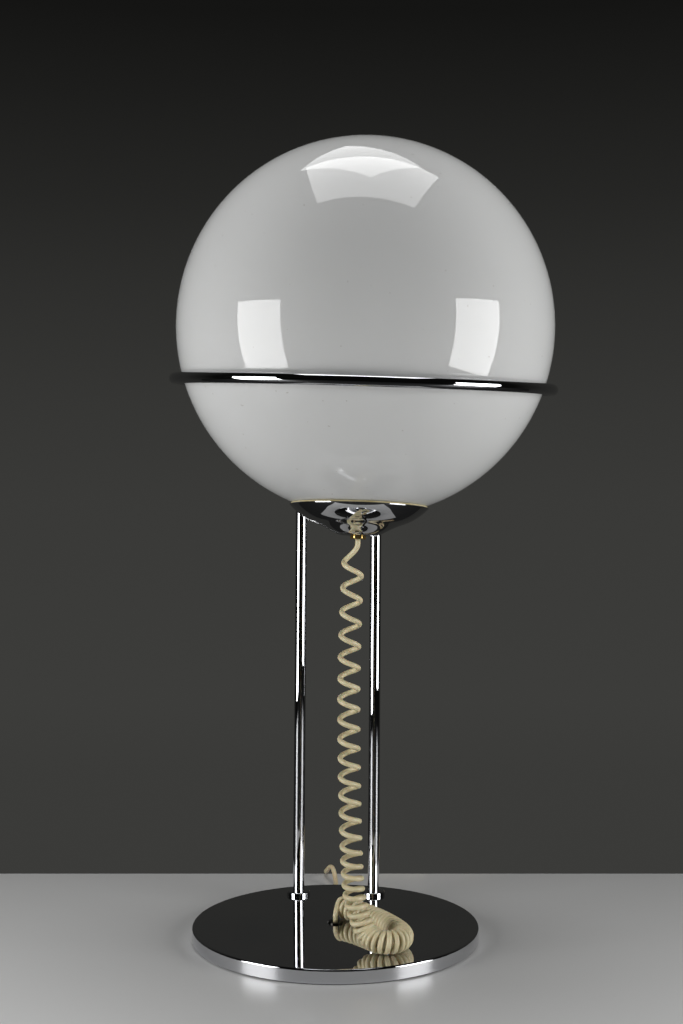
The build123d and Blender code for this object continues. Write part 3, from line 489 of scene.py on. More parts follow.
# %% Guide of the curly cord
WIRE = 0.0048
CURL_R = 0.00835
HEAP_Z = BASE_TOP + 0.01095
GUIDE_POINTS = [
    (0.0170, -0.0840, 0.3820),
    (0.0140, -0.0840, 0.3200),
    (0.0123, -0.0840, 0.2460),
    (0.0135, -0.0840, 0.1500),
    (0.0148, -0.0840, 0.1050),
    (0.0167, -0.0840, 0.0680),
    (0.0195, -0.0840, 0.0540),
    (0.0230, -0.0840, 0.0430),
    (0.0270, -0.0845, 0.0335),
    (0.0320, -0.0875, HEAP_Z + 0.0025),
    (0.0380, -0.0945, HEAP_Z),
    (0.0455, -0.0985, HEAP_Z),
    (0.0530, -0.0970, HEAP_Z),
    (0.0590, -0.0910, HEAP_Z),
    (0.0622, -0.0825, HEAP_Z),
    (0.0618, -0.0720, HEAP_Z),
    (0.0565, -0.0570, HEAP_Z),
    (0.0475, -0.0385, HEAP_Z),
    (0.0375, -0.0215, HEAP_Z),
    (0.0270, -0.0070, HEAP_Z),
    (0.0175, 0.0045, HEAP_Z),
    (0.0095, 0.0120, HEAP_Z),
    (0.0005, 0.0170, HEAP_Z + 0.0005),
]
TIGHT = WIRE + 0.0005
PITCHES = [  # distance along the guide, spacing of the turns
    (0.000, 0.0240),
    (0.110, 0.0195),
    (0.200, 0.0172),
    (0.262, 0.0155),
    (0.300, 0.0105),
    (0.324, 0.0082),
    (0.345, 0.0070),
    (0.360, 0.0047),
    (0.398, 0.0043),
    (0.414, TIGHT),
    (0.480, TIGHT),
    (0.495, 0.0076),
]

guide = evenly(smooth_line(GUIDE_POINTS), 0.0005)
guide_at = lengths_along(guide)
guide_ways = unit(np.gradient(guide, axis=0))
guide_sides = carried_sides(guide_ways)
print("guide", round(guide_at[-1], 3), "m in", len(guide), "spots")


# %% Turns of the curly cord
def turns_along(at):
    """Angle turned at each spot: the sum of 2 pi ds / pitch."""
    pitch = np.interp(at, *np.transpose(PITCHES))
    return np.concatenate([[0], np.cumsum(2 * pi * np.diff(at) / pitch[:-1])])


def helix(angles, turned_at):
    """Guide + r (cos a out - sin a (way x out)), all three taken where the cord has turned a."""

    def where(values):
        return np.stack([np.interp(angles, turned_at, values[:, k]) for k in range(3)], 1)

    spot, way, out = where(guide), unit(where(guide_ways)), where(guide_sides)
    out = unit(out - way * (out * way).sum(1, keepdims=True))
    a = angles[:, None]
    return spot + CURL_R * (np.cos(a) * out - np.sin(a) * np.cross(way, out))


def bridge(start, start_way, end, end_way, steps=18, pull=1.0):
    """Cubic between two places with given directions, whose pull is a share of their distance."""
    t = np.linspace(0, 1, steps)[1:-1, None]
    pull = pull * np.linalg.norm(end - start)
    return (
        (2 * t**3 - 3 * t**2 + 1) * start
        + (t**3 - 2 * t**2 + t) * start_way * pull
        + (3 * t**2 - 2 * t**3) * end
        + (t**3 - t**2) * end_way * pull
    )


turned_at = turns_along(guide_at)
STEPS_PER_TURN = 44
first_turn, last_turn = pi, turned_at[-1] - 1.5 * pi
turns_made = (last_turn - first_turn) / (2 * pi)
angles = np.linspace(first_turn, last_turn, int(turns_made * STEPS_PER_TURN))
coils = helix(angles, turned_at)
down = -np.array(LAMP_AXIS)
mouth = np.array(BALL_CENTRE) + down * (-floor_h + 0.003)
into_base = np.array([0, 0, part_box("base_grommet")[1].z])
top_bridge = bridge(mouth + down * WIRE, down, coils[0], unit(coils[1] - coils[0]))
foot = into_base + [0, 0, WIRE]
foot_bridge = bridge(coils[-1], unit(coils[-1] - coils[-2]), foot, np.array([0, 0, -1.0]), pull=0.6)
curly_path = np.concatenate(
    [[mouth, mouth + down * WIRE / 2, mouth + down * WIRE], top_bridge, coils, foot_bridge]
    + [[foot, foot - [0, 0, WIRE / 2], into_base]]
)

# %% Curly cord's tube
curly_grid = tube_grid(curly_path, WIRE / 2, section=14)
curly = surface("curly_tube", curly_grid, None, rows_at=lengths_along(curly_path) / WIRE, ends=True)
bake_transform(curly)
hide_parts("curly_cord")

# %% [markdown]
# ## Mains lead
# The lead leaves the base at the back, makes a short hump and goes on behind. What the picture does
# not show is put away there: through the switch, round a neat coil of two layers and to the plug.
# It is one smooth NURBS curve with a round section, and its points are its control points.

# %% Route of the lead
LEAD = 0.005
LEAD_Z = 0.0046
LEAD_START = [
    (0.0000, 0.1620, LEAD_Z),
    (0.0000, 0.1800, LEAD_Z),
    (-0.0030, 0.1950, 0.0165),
    (-0.0070, 0.2070, 0.0165),
    (-0.0125, 0.2255, 0.0036),
    (-0.0105, 0.2509, 0.0028),
    (-0.0020, 0.2656, 0.0032),
    (0.0119, 0.2754, 0.0048),
    (0.0285, 0.2789, 0.0075),
    (0.0440, 0.2789, 0.0075),
]
SWITCH_LENGTH = 0.060
STRAIGHT_END = 0.014
COIL_TURNS = 3.5
COIL_PITCH = LEAD + 0.0007
COIL_MIDDLE_R = 0.030
COIL_REACH = 0.048
COIL_DIP = 0.001
PLUG_REACH = 0.044
POINTS_PER_TURN = 16
coil_outer_r = COIL_MIDDLE_R + COIL_PITCH * COIL_TURNS / 2
switch_far = np.array(LEAD_START[-1]) + [SWITCH_LENGTH, 0, 0]
coil_centre = np.array(
    [switch_far[0] + COIL_REACH, switch_far[1] + coil_outer_r, LEAD / 2 + 0.0001]
)


def coil_points():
    """A spiral in along the floor, half a turn up, and a spiral out again on top of it."""
    total = 2 * COIL_TURNS + 0.5
    turned_by = np.linspace(0, total, int(total * POINTS_PER_TURN) + 1)
    climbed = np.clip((turned_by - COIL_TURNS) / 0.5, 0, 1)
    inwards = np.minimum(turned_by, COIL_TURNS) - np.maximum(turned_by - COIL_TURNS - 0.5, 0)
    radius = coil_outer_r - COIL_PITCH * inwards - COIL_DIP * np.sin(pi * climbed) ** 2
    angle = 2 * pi * turned_by - pi / 2
    rise = COIL_PITCH * climbed**2 * (3 - 2 * climbed)
    return coil_centre + np.stack([radius * np.cos(angle), radius * np.sin(angle), rise], 1)


turns = coil_points()
coil_in = turns[0] - [LEAD, 0, 0]
coil_out = turns[-1] - [LEAD, 0, 0]
plug_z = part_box("plug_body")[1].z / 2
plug_face = np.array([coil_out[0] - PLUG_REACH, coil_out[1], plug_z])
LEAD_POINTS = np.concatenate(
    [
        LEAD_START,
        [(LEAD_START[-1][0] + SWITCH_LENGTH / 2, switch_far[1], switch_far[2])],
        [switch_far, switch_far + [STRAIGHT_END, 0, 0]],
        [coil_in - [STRAIGHT_END, 0, 0], coil_in],
        turns,
        [coil_out, coil_out - [STRAIGHT_END, 0, 0]],
        [plug_face + [STRAIGHT_END, 0, 0], plug_face],
    ]
)
print("lead", len(LEAD_POINTS), "points, coil middle", coil_centre.round(3))


# %% Lead as a curve
def cord_curve(name, points, diameter):
    """A NURBS curve of order 3 through its end points, with a round section.

    The thickness is each point's radius, because a curve's box is its points and their radii.
    """
    data = bpy.data.curves.new(name, "CURVE")
    data.dimensions = "3D"
    data.bevel_depth = 1.0
    data.bevel_resolution = 5
    data.use_fill_caps = True
    spline = data.splines.new("NURBS")
    spline.points.add(len(points) - 1)
    flat = np.concatenate([np.array(points, float), np.ones((len(points), 1))], 1)
    spline.points.foreach_set("co", flat.ravel())
    spline.points.foreach_set("radius", np.full(len(points), diameter / 2))
    spline.order_u = 3
    spline.use_endpoint_u = True
    spline.resolution_u = 6
    piece = bpy.data.objects.new(name, data)
    bpy.context.scene.collection.objects.link(piece)
    return piece


lead = cord_curve("mains_cord", LEAD_POINTS, LEAD)
lead_line = smooth_line(LEAD_POINTS, resolution=12)
lead_at = lengths_along(lead_line)
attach(lead, "stand")
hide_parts("mains_lead_a", "mains_lead_b", "mains_lead_c", "mains_coil")
print("lead length", round(lead_at[-1], 3))

# %% [markdown]
# ## Strain reliefs
# Where a cord goes into something stiff, a soft sleeve keeps it from kinking. It tapers, and has
# grooves so that it bends. On the switch and the plug it follows the cord itself: the same line, a
# wider circle. At the base it is straight.


# %% Strain reliefs
RELIEF_LENGTH = 0.024
RELIEF_ROOT_R = 0.0042
RELIEF_TIP_R = 0.0030
GROOVES = 6
LAST_GROOVE = 0.95


def grooves(share, depth, first):
    """Depth of the grooves from a first share of a sleeve on: d ((1 + cos 2 pi n s) / 2)^3."""
    wave = (0.5 + 0.5 * np.cos(2 * pi * GROOVES * share)) ** 3
    return depth * wave * (share > first) * (share < LAST_GROOVE)


def relief(name, start_at, way, *nodes):
    """A tapered, grooved sleeve on the lead, from a distance along it, forwards or backwards."""
    offsets = np.linspace(0, RELIEF_LENGTH, 73)
    wanted = start_at + way * offsets
    spots = np.stack([np.interp(wanted, lead_at, lead_line[:, k]) for k in range(3)], 1)
    share = offsets / RELIEF_LENGTH
    taper = RELIEF_ROOT_R + (RELIEF_TIP_R - RELIEF_ROOT_R) * share
    radii = np.maximum(taper - grooves(share, 0.0006, 0.08), LEAD / 2 + 0.0002)
    return surface(name, tube_grid(spots, radii, section=32), "stand", *nodes, ends=True)


def nearest_at(place):
    """Distance along the lead to the spot nearest a place."""
    return lead_at[np.argmin(np.linalg.norm(lead_line - np.array(place), axis=1))]


SLEEVE_INSIDE = 0.012
SLEEVE_LENGTH = 0.022
SLEEVE_ROOT_R = 0.0041
SLEEVE_TIP_R = 0.0031


def sleeve_grid():
    """A straight sleeve out of the base: a plain neck inside the edge, then a grooved taper."""
    ends = [(0, BASE_R - SLEEVE_INSIDE, LEAD_Z), (0, BASE_R + SLEEVE_LENGTH, LEAD_Z)]
    share = np.linspace(-SLEEVE_INSIDE, SLEEVE_LENGTH, 90) / SLEEVE_LENGTH
    taper = SLEEVE_ROOT_R + (SLEEVE_TIP_R - SLEEVE_ROOT_R) * share
    radii = np.where(share < 0, SLEEVE_TIP_R, taper) - grooves(share, 0.0005, 0.12)
    return tube_grid(np.linspace(*ends, 90), radii, section=32)


sleeve = surface("lead_relief", sleeve_grid(), "stand", "lead_sleeve", ends=True)
relief_near = relief("switch_relief_near", nearest_at(LEAD_START[-1]), -1, "switch_reliefs")
relief_far = relief("switch_relief_far", nearest_at(switch_far), 1)
relief_plug = relief("plug_boot", nearest_at(plug_face), -1, "plug_relief")

# %% [markdown]
# ## Tie of the coil
# A strap round one side of the coil holds its turns together: a rounded loop in the plane that cuts
# across them.

# %% Coil tie
TIE_W = 0.008
TIE_T = 0.0008
TIE_ROUND = 0.003
TIE_GAP = 0.0004


def tie_grid():
    """A band round the coil's section: a rounded loop drawn in (outwards, up), and its width."""
    inner, outer = coil_outer_r - COIL_PITCH * COIL_TURNS - 0.0040, coil_outer_r + 0.0030
    top = coil_centre[2] + COIL_PITCH + LEAD / 2 + TIE_GAP
    corners = [(inner, TIE_GAP), (outer, TIE_GAP), (outer, top), (inner, top)]
    middle = [((inner + outer) / 2, TIE_GAP)]
    loop = rounded(middle + corners[1:] + corners[:1] + middle, [TIE_ROUND] * 4, steps=8)
    centre = np.array([(inner + outer) / 2, top / 2])
    wider = centre + (loop - centre) * (1 + TIE_T / np.abs(loop - centre).max(0))
    wider[:, 1] = np.maximum(wider[:, 1], 0.00005)
    half = TIE_W / 2
    section = [(loop, -half), (loop, half), (wider, half), (wider, -half)]
    turn = radians(20)
    out = np.array([cos(turn), sin(turn), 0])
    across = np.array([-sin(turn), cos(turn), 0])
    up = np.array([0, 0, 1])
    rows = [
        coil_centre * [1, 1, 0] + line[:, :1] * out + line[:, 1:] * up + width * across
        for line, width in section
    ]
    return np.stack(rows, 1)


tie = surface("coil_tie", tie_grid(), "stand")

# %% [markdown]
# ## Materials
# A helper keeps each material short: it makes a Principled shader, sets its fixed sockets, and
# hands back small tools for noise, colour ramps and bumps. Everything reads Object coordinates,
# which stay with a piece when it moves, or the UV map where a pattern has to follow a cord.


# %% Material helpers
class Finish:
    """A node material with a Principled shader, and short names for the nodes it is made from."""

    def __init__(self, name, **sockets):
        self.material = bpy.data.materials.new(name)
        self.material.use_nodes = True
        self.nodes = self.material.node_tree.nodes
        self.links = self.material.node_tree.links
        self.shader = self.nodes["Principled BSDF"]
        self.place = self.nodes.new("ShaderNodeTexCoord")
        for socket, value in sockets.items():
            self.shader.inputs[socket.replace("_", " ")].default_value = value

    def join(self, source, target):
        self.links.new(source, target)

    def noise(self, scale, detail=4.0, stretch=(1, 1, 1), source="Object", roughness=0.5):
        """A noise between 0 and 1, stretched along the axes if asked."""
        mapping = self.nodes.new("ShaderNodeMapping")
        mapping.inputs["Scale"].default_value = stretch
        self.join(self.place.outputs[source], mapping.inputs["Vector"])
        texture = self.nodes.new("ShaderNodeTexNoise")
        texture.inputs["Scale"].default_value = scale
        texture.inputs["Detail"].default_value = detail
        texture.inputs["Roughness"].default_value = roughness
        self.join(mapping.outputs["Vector"], texture.inputs["Vector"])
        return texture.outputs["Fac"]

    def ramp(self, source, stops):
        """Colours laid over a value: stops are (place, colour)."""
        node = self.nodes.new("ShaderNodeValToRGB")
        while len(node.color_ramp.elements) < len(stops):
            node.color_ramp.elements.new(0.5)
        for element, (place, colour) in zip(node.color_ramp.elements, stops):
            element.position = place
            element.color = (*colour, 1) if len(colour) == 3 else colour
        self.join(source, node.inputs["Fac"])
        return node.outputs["Color"]

    def spread(self, source, low, high, from_low=0.3, from_high=0.7):
        """A value moved from one range to another."""
        node = self.nodes.new("ShaderNodeMapRange")
        node.inputs["From Min"].default_value = from_low
        node.inputs["From Max"].default_value = from_high
        node.inputs["To Min"].default_value = low
        node.inputs["To Max"].default_value = high
        self.join(source, node.inputs["Value"])
        return node.outputs["Result"]

    def mixed(self, share, first, second):
        """Two colours mixed by a share."""
        node = self.nodes.new("ShaderNodeMix")
        node.data_type = "RGBA"
        self.join(share, node.inputs["Factor"])
        for socket, value in (("A", first), ("B", second)):
            colour_inputs = [i for i in node.inputs if i.name == socket and i.type == "RGBA"]
            if isinstance(value, tuple):
                colour_inputs[0].default_value = (*value, 1)
            else:
                self.join(value, colour_inputs[0])
        return [o for o in node.outputs if o.type == "RGBA"][0]

    def bump(self, source, depth, strength=1.0, under=None):
        """A bump of so many metres."""
        node = self.nodes.new("ShaderNodeBump")
        node.inputs["Distance"].default_value = depth
        node.inputs["Strength"].default_value = strength
        self.join(source, node.inputs["Height"])
        if under is not None:
            self.join(under, node.inputs["Normal"])
        return node.outputs["Normal"]

    def colour(self, source):
        self.join(source, self.shader.inputs["Base Color"])
        return self

    def rough(self, source):
        self.join(source, self.shader.inputs["Roughness"])
        return self

    def normal(self, source):
        self.join(source, self.shader.inputs["Normal"])
        return self


# %% [markdown]
# ### Chrome
# Chrome plate is a nearly perfect mirror with a cool tint. Age shows as faint wiping marks, which
# blur the mirror a little in patches, and as tiny dark pits.


# %% Chrome
def chrome(name, wiped=(1, 1, 1), blur=0.05, wave=0.0):
    finish = Finish(name, Metallic=1.0)
    patches = finish.noise(9, detail=3)
    marks = finish.noise(160, detail=6, stretch=wiped, roughness=0.7)
    pits = finish.noise(700, detail=2)
    tint = finish.ramp(patches, [(0.3, (0.60, 0.61, 0.64)), (0.7, (0.68, 0.68, 0.69))])
    freckled = finish.spread(pits, 0, 0.35, from_low=0.71, from_high=0.76)
    finish.colour(finish.mixed(freckled, tint, (0.20, 0.18, 0.16)))
    finish.rough(finish.spread(marks, 0.015, blur, from_low=0.35, from_high=0.75))
    if wave:
        finish.normal(finish.bump(finish.noise(30, detail=2), wave))
    return finish.material


plate_chrome = chrome("chrome_plate", wiped=(0.3, 2.0, 1.0), blur=0.05, wave=0.000004)
tube_chrome = chrome("chrome_tube", wiped=(2.0, 2.0, 0.12), blur=0.02)
dish_chrome = chrome("chrome_dish", blur=0.05)
print("chrome:", plate_chrome.name, tube_chrome.name, dish_chrome.name)

# %% [markdown]
# ### Opal glass
# White opal glass lets light in and scatters it close under the skin, and its surface is as smooth
# as any glass. So: a pale body with a little subsurface light, a sharp gloss, and a very long wave
# in the surface, left by blowing, that bends the edges of what it mirrors.

# %% Opal glass
opal = Finish("opal_glass", Roughness=0.03, IOR=1.5, Subsurface_Weight=0.35, Subsurface_Scale=0.008)
opal.shader.inputs["Subsurface Radius"].default_value = (1.0, 0.98, 0.92)
cloud = opal.noise(6, detail=2)
speck = opal.noise(260, detail=1)
milk = opal.ramp(cloud, [(0.3, (0.590, 0.594, 0.588)), (0.7, (0.612, 0.615, 0.607))])
specks = opal.spread(speck, 0, 0.5, from_low=0.78, from_high=0.8)
opal.colour(opal.mixed(specks, milk, (0.35, 0.33, 0.30)))
opal.normal(opal.bump(opal.noise(11, detail=1), 0.00035))
opal_glass = opal.material
print(opal_glass.name, len(opal.nodes), "nodes")

# %% [markdown]
# ### Cord plastic
# Both cords are cream PVC that has darkened with age, with a little grime. The curly cord's colour
# drifts slowly along it, so it is read from the UV map, whose V is the distance in diameters. The
# mains lead is a curve, and reads Object coordinates.


# %% Cord plastic
def cord_plastic(name, pale, deep, grime, source="UV", scale=1.0):
    finish = Finish(name, IOR=1.5, Subsurface_Weight=0.12, Subsurface_Scale=0.0015)
    drift = finish.noise(0.8 * scale, detail=3, stretch=(2.5, 0.35, 1), source=source)
    fine = finish.noise(900, detail=4)
    dirt = finish.noise(120, detail=5, roughness=0.65)
    body = finish.ramp(drift, [(0.35, deep), (0.6, pale)])
    dirty = finish.spread(dirt, 0, 0.5, from_low=0.52, from_high=0.72)
    finish.colour(finish.mixed(dirty, body, grime))
    finish.rough(finish.spread(dirt, 0.30, 0.46))
    finish.normal(finish.bump(fine, 0.00004))
    return finish.material


curly_plastic = cord_plastic(
    "cord_cream", (0.700, 0.620, 0.400), (0.620, 0.540, 0.330), (0.42, 0.35, 0.20)
)
lead_plastic = cord_plastic(
    "lead_cream", (0.600, 0.510, 0.320), (0.520, 0.430, 0.260), (0.34, 0.27, 0.15), "Object", 20
)
print("cord plastic:", curly_plastic.name, lead_plastic.name)

# %% [markdown]
# ### Small parts
# Brass that has gone brown in patches, zinc-plated steel with its crystal mottling, black
# phenolic, glazed porcelain, a frosted bulb, clear and yellowed rubber, felt and moulded plastic.


# %% Small finishes
def mottled_metal(name, light, dark, low_rough, high_rough, size):
    finish = Finish(name, Metallic=1.0)
    patches = finish.noise(size, detail=5, roughness=0.6)
    finish.colour(finish.ramp(patches, [(0.38, dark), (0.62, light)]))
    finish.rough(finish.spread(patches, high_rough, low_rough))
    finish.normal(finish.bump(finish.noise(size * 6, detail=3), 0.00002))
    return finish.material


def moulded(name, pale, deep, low_rough, high_rough, grain=1500, depth=0.00003):
    finish = Finish(name, IOR=1.5)
    finish.colour(finish.ramp(finish.noise(60, detail=4), [(0.35, deep), (0.65, pale)]))
    finish.rough(finish.spread(finish.noise(200, detail=3), low_rough, high_rough))
    finish.normal(finish.bump(finish.noise(grain, detail=3), depth))
    return finish.material


def felted(name):
    finish = Finish(name, Roughness=0.95, Sheen_Weight=0.4, Sheen_Roughness=0.6)
    fibres = finish.noise(1400, detail=6, roughness=0.75)
    finish.colour(finish.ramp(fibres, [(0.35, (0.012, 0.012, 0.012)), (0.7, (0.06, 0.06, 0.058))]))
    finish.normal(finish.bump(fibres, 0.0003))
    return finish.material


finishes = {
    "polished_chrome": tube_chrome,
    "brass": mottled_metal("brass_aged", (0.62, 0.45, 0.16), (0.22, 0.14, 0.05), 0.22, 0.5, 300),
    "zinc_steel": mottled_metal(
        "zinc_steel", (0.62, 0.61, 0.57), (0.45, 0.44, 0.40), 0.28, 0.45, 180
    ),
    "plug_metal": mottled_metal(
        "plug_nickel", (0.72, 0.70, 0.64), (0.55, 0.52, 0.46), 0.15, 0.3, 240
    ),
    "bulb_cap_metal": mottled_metal(
        "bulb_cap_brass", (0.74, 0.68, 0.50), (0.5, 0.44, 0.3), 0.2, 0.4, 260
    ),
    "clear_rubber": moulded("pad_rubber", (0.66, 0.66, 0.62), (0.52, 0.51, 0.46), 0.25, 0.4),
    "soft_gasket": moulded(
        "ring_rubber", (0.62, 0.55, 0.33), (0.46, 0.38, 0.18), 0.5, 0.7, grain=700
    ),
    "black_bakelite": moulded(
        "black_phenolic", (0.028, 0.026, 0.025), (0.012, 0.011, 0.011), 0.12, 0.3
    ),
    "porcelain": moulded("porcelain_glaze", (0.80, 0.79, 0.75), (0.70, 0.69, 0.64), 0.06, 0.16),
    "bulb_glass": moulded("bulb_frost", (0.86, 0.86, 0.84), (0.78, 0.78, 0.76), 0.35, 0.5),
    "felt": felted("felt_black"),
    "switch_plastic": moulded("moulded_cream", (0.62, 0.56, 0.42), (0.52, 0.46, 0.32), 0.32, 0.46),
    "cream_cord": lead_plastic,
    "lead_plastic": lead_plastic,
    "opal_glass": opal_glass,
}
print(len(finishes), "finishes")

# %% [markdown]
# ## Dressing the pieces
# Each CAD node takes the finish of its slot in the record, except the cord's bush in the base,
# whose brass is painted nearly black as the shade of its hole. The new pieces take theirs by name.
# The chromed ones share one chrome, whose wiping marks run sideways on the base, up the legs, and
# no special way on the collars, the hoop and the cap.


# %% Give every piece its finish
def dress(piece, material):
    piece.data.materials.clear()
    piece.data.materials.append(material)


for subpart in frame["record"]["subparts"]:
    dress(frame["nodes"][subpart["node"]], finishes[subpart["material_slot"]])

# Painted shade: the bush's brass is coloured nearly black, standing in for the shade in its hole.
grommet_painted_shade = mottled_metal(
    "grommet_painted_shade", (0.045, 0.040, 0.034), (0.022, 0.020, 0.018), 0.10, 0.22, 220
)
dress(frame["nodes"]["base_grommet"], grommet_painted_shade)

made = bpy.data.objects
dress(base_plate, plate_chrome)
for side in ("left", "right"):
    dress(made[f"leg_tube_{side}"], tube_chrome)
    dress(made[f"foot_collar_{side}"], dish_chrome)
dress(hoop, dish_chrome)
dress(cap, dish_chrome)
dress(globe, opal_glass)
dress(gasket, finishes["soft_gasket"])
dress(curly, curly_plastic)
dress(lead, lead_plastic)
for piece in (sleeve, relief_near, relief_far, relief_plug):
    dress(piece, lead_plastic)
dress(tie, finishes["black_bakelite"])
print(len(frame["nodes"]), "CAD nodes and the new pieces have their finish")

# %% [markdown]
# ## Floor, backdrop and light
# The floor is plain and pale, with painted shade that darkens it towards the back and the right.
# Behind it the picture is dark, so the world is dark grey to the camera. A low screen in the same
# grey stands on the floor behind the lamp, and hides the lead that is put away. From behind, it
# can be seen through.
# Chrome needs something to mirror: two tall soft boxes stand left and right in front of the lamp,
# and two hang overhead. Mirrored in metal, the floor is pale only near the lamp.

# %% Floor
FLOOR_SIZE = 3.0
FLOOR_BACK = 0.475
NEAR_FLOOR = {"X": (-0.216, 0.222), "Y": (-0.225, 0.227)}  # what metal mirrors as pale
BOUNCE_LOSS = 0.30
BACKDROP_TINT = 0.935
BACKDROP_GREY = 0.0430
BACKDROP = (BACKDROP_GREY, BACKDROP_GREY, BACKDROP_GREY * BACKDROP_TINT)


def flat_sheet(name, corners):
    mesh = bpy.data.meshes.new(name)
    mesh.from_pydata(corners, [], [tuple(range(len(corners)))])
    sheet = bpy.data.objects.new(name, mesh)
    bpy.context.scene.collection.objects.link(sheet)
    return sheet


half = FLOOR_SIZE / 2
floor = flat_sheet(
    "floor", [(-half, -half, 0), (half, -half, 0), (half, FLOOR_BACK, 0), (-half, FLOOR_BACK, 0)]
)


def floor_material():
    """Pale and slightly glossy, with painted shade towards the back and the right. Glossy rays find
    it dark past NEAR_FLOOR, diffuse ones darker.
    """
    finish = Finish("floor_pale", Roughness=0.38, IOR=1.45)
    nodes, join = finish.nodes, finish.join
    grain = finish.noise(3, detail=2)
    split = nodes.new("ShaderNodeSeparateXYZ")
    join(finish.place.outputs["Object"], split.inputs["Vector"])
    near = finish.ramp(grain, [(0.3, (0.68, 0.68, 0.673)), (0.7, (0.70, 0.70, 0.693))])
    # Painted shade: the colour darkens from the front's pale to 0.475 towards the back.
    depth = finish.spread(split.outputs["Y"], 0, 1, from_low=-0.30, from_high=0.30)
    deep = finish.mixed(depth, near, (0.475, 0.475, 0.470))
    # Painted shade: the colour darkens to the right, towards black by a share of up to 0.14.
    sideways = finish.spread(split.outputs["X"], 0, 0.14, from_low=-0.05, from_high=0.35)
    pale = finish.mixed(sideways, deep, (0.0, 0.0, 0.0))
    inside = None
    for axis, (low, high) in NEAR_FLOOR.items():
        middle = nodes.new("ShaderNodeMath")
        middle.operation = "COMPARE"
        join(split.outputs[axis], middle.inputs[0])
        middle.inputs[1].default_value = (low + high) / 2
        middle.inputs[2].default_value = (high - low) / 2
        if inside is None:
            inside = middle.outputs[0]
            continue
        both = nodes.new("ShaderNodeMath")
        both.operation = "MULTIPLY"
        join(inside, both.inputs[0])
        join(middle.outputs[0], both.inputs[1])
        inside = both.outputs[0]
    mirrored = nodes.new("ShaderNodeLightPath")
    hidden = nodes.new("ShaderNodeMath")
    hidden.operation = "SUBTRACT"
    hidden.use_clamp = True
    join(mirrored.outputs["Is Glossy Ray"], hidden.inputs[0])
    join(inside, hidden.inputs[1])
    bounced = nodes.new("ShaderNodeMath")
    bounced.operation = "MULTIPLY_ADD"
    join(mirrored.outputs["Is Diffuse Ray"], bounced.inputs[0])
    bounced.inputs[1].default_value = BOUNCE_LOSS
    join(hidden.outputs[0], bounced.inputs[2])
    finish.colour(finish.mixed(bounced.outputs[0], pale, (0.02, 0.02, 0.02)))
    return finish.material


floor.data.materials.append(floor_material())
print("floor", [round(v, 2) for v in floor.dimensions])

# %% Screen behind the lamp
SCREEN_Y = 0.236
SCREEN_HALF = 0.46
SCREEN_HEIGHT = 0.062
screen = flat_sheet(
    "screen",
    [
        (-SCREEN_HALF, SCREEN_Y, 0),
        (SCREEN_HALF, SCREEN_Y, 0),
        (SCREEN_HALF, SCREEN_Y, SCREEN_HEIGHT),
        (-SCREEN_HALF, SCREEN_Y, SCREEN_HEIGHT),
    ],
)
screen.visible_shadow = False
screen.visible_glossy = False
screen.visible_diffuse = False
screen.visible_transmission = False


def screen_material():
    """The backdrop's grey, given off evenly, and nothing at all on its back."""
    material = bpy.data.materials.new("screen_grey")
    material.use_nodes = True
    nodes, links = material.node_tree.nodes, material.node_tree.links
    nodes.clear()
    grey = nodes.new("ShaderNodeEmission")
    grey.inputs["Color"].default_value = (*BACKDROP, 1)
    clear = nodes.new("ShaderNodeBsdfTransparent")
    which = nodes.new("ShaderNodeMixShader")
    side = nodes.new("ShaderNodeNewGeometry")
    out = nodes.new("ShaderNodeOutputMaterial")
    links.new(side.outputs["Backfacing"], which.inputs[0])
    links.new(grey.outputs[0], which.inputs[1])
    links.new(clear.outputs[0], which.inputs[2])
    links.new(which.outputs[0], out.inputs["Surface"])
    return material


screen.data.materials.append(screen_material())
print("screen faces", [round(v, 2) for v in screen.data.polygons[0].normal])


# %% World
CAMERA_SKY = [  # sine of the elevation, grey
    (-0.250, 0.0430),
    (-0.185, 0.0430),
    (-0.139, 0.0456),
    (0.000, 0.0415),
    (0.068, 0.0361),
    (0.137, 0.0283),
    (0.204, 0.0190),
    (0.269, 0.0121),
    (0.322, 0.0073),
]
MIRROR_SKY = [  # how far a direction points to the back, grey
    (-1.00, 0.0030),
    (0.10, 0.0040),
    (0.60, 0.0260),
    (1.00, 0.0310),
]
FILL = 0.02


def grey_along(nodes, links, source, low, high, stops):
    """A grey that follows a number from low to high through the stops."""
    spread = nodes.new("ShaderNodeMapRange")
    spread.inputs["From Min"].default_value = low
    spread.inputs["From Max"].default_value = high
    links.new(source, spread.inputs["Value"])
    ramp = nodes.new("ShaderNodeValToRGB")
    while len(ramp.color_ramp.elements) < len(stops):
        ramp.color_ramp.elements.new(0.5)
    for element, (value, grey) in zip(ramp.color_ramp.elements, stops):
        element.position = (value - low) / (high - low)
        element.color = (grey, grey, grey * BACKDROP_TINT, 1)
    links.new(spread.outputs["Result"], ramp.inputs["Fac"])
    return ramp.outputs["Color"]


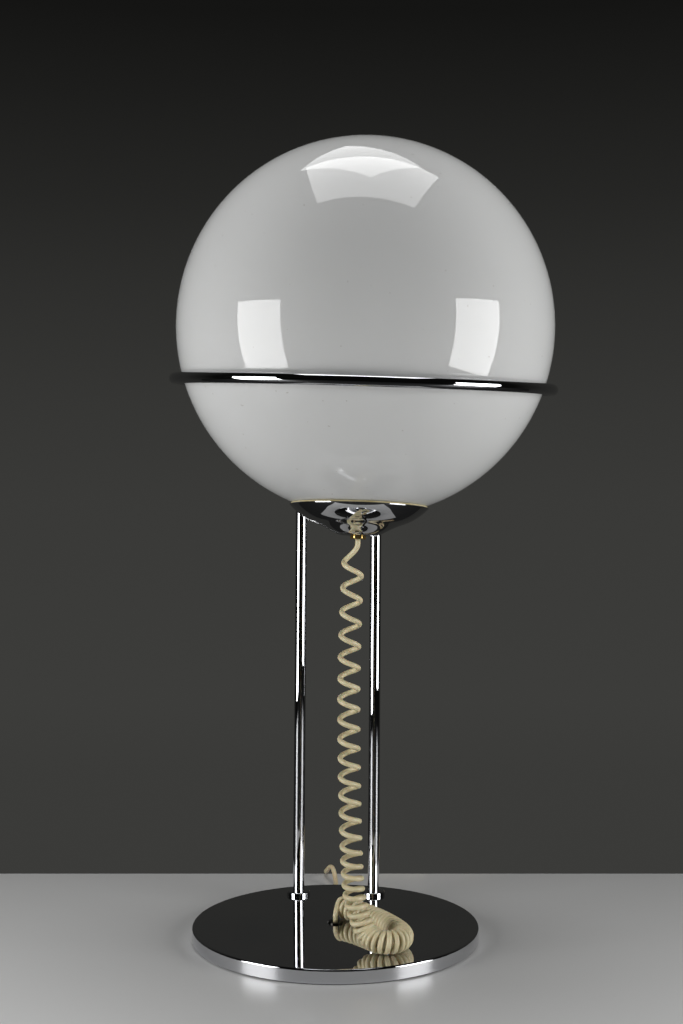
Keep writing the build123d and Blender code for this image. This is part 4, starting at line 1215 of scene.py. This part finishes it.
def dark_world():
    """A grey sky that darkens upwards for the camera, and towards the front for mirrors."""
    world = bpy.data.worlds.new("studio")
    world.use_nodes = True
    bpy.context.scene.world = world
    nodes, links = world.node_tree.nodes, world.node_tree.links
    place = nodes.new("ShaderNodeTexCoord")
    split = nodes.new("ShaderNodeSeparateXYZ")
    links.new(place.outputs["Generated"], split.inputs["Vector"])
    seen = grey_along(nodes, links, split.outputs["Z"], -0.26, 0.33, CAMERA_SKY)
    mirrored = grey_along(nodes, links, split.outputs["Y"], -1.0, 1.0, MIRROR_SKY)
    rays = nodes.new("ShaderNodeLightPath")
    mixes = [nodes.new("ShaderNodeMix") for _ in range(2)]
    for mix, share, colour in zip(mixes, ("Is Glossy Ray", "Is Camera Ray"), (mirrored, seen)):
        mix.data_type = "RGBA"
        links.new(rays.outputs[share], mix.inputs["Factor"])
        links.new(colour, [i for i in mix.inputs if i.type == "RGBA"][1])
    [i for i in mixes[0].inputs if i.type == "RGBA"][0].default_value = (FILL, FILL, FILL, 1)
    outputs = [[o for o in mix.outputs if o.type == "RGBA"][0] for mix in mixes]
    links.new(outputs[0], [i for i in mixes[1].inputs if i.type == "RGBA"][0])
    links.new(outputs[1], nodes["Background"].inputs["Color"])


dark_world()
print("world", bpy.context.scene.world.name)


# %% Soft boxes
def soft_box(name, place, turn, width, height, radiance):
    """An area light at a place, turned by Euler angles. The camera can't see it, but metal can.

    A flat light of area A that shines with radiance L gives off pi A L watts.
    """
    data = bpy.data.lights.new(name, "AREA")
    data.shape = "RECTANGLE"
    data.size = width
    data.size_y = height
    data.energy = pi * width * height * radiance
    lamp = bpy.data.objects.new(name, data)
    lamp.location = place
    lamp.rotation_euler = turn
    lamp.visible_camera = False
    bpy.context.scene.collection.objects.link(lamp)
    return lamp


def facing(place, aim=(0.02, -0.07, 0.45)):
    """Euler angles that turn a light at a place towards a point, its top edge level."""
    return (Vector(aim) - Vector(place)).to_track_quat("-Z", "Y").to_euler()


LEFT_PLACE = (-1.06, -0.66, 0.42)
RIGHT_PLACE = (1.10, -0.60, 0.44)
SOFT_BOXES = [  # name, place, turn, width, height, radiance
    ("soft_box_left", LEFT_PLACE, facing(LEFT_PLACE), 0.62, 0.78, 7.5),
    ("soft_box_right", RIGHT_PLACE, facing(RIGHT_PLACE), 0.62, 0.74, 7.5),
    ("soft_box_top", (0.07, -0.14, 1.75), (0, 0, radians(-5)), 0.97, 0.75, 3.2),
    ("soft_box_back", (0.0, 0.26, 1.80), (0, 0, radians(48)), 0.57, 0.71, 2.7),
]
for values in SOFT_BOXES:
    soft_box(*values)
print(len(SOFT_BOXES), "soft boxes")

# %% [markdown]
# ## Finish
# The view layer is brought up to date at the end.

# %% Last update
bpy.context.view_layer.update()
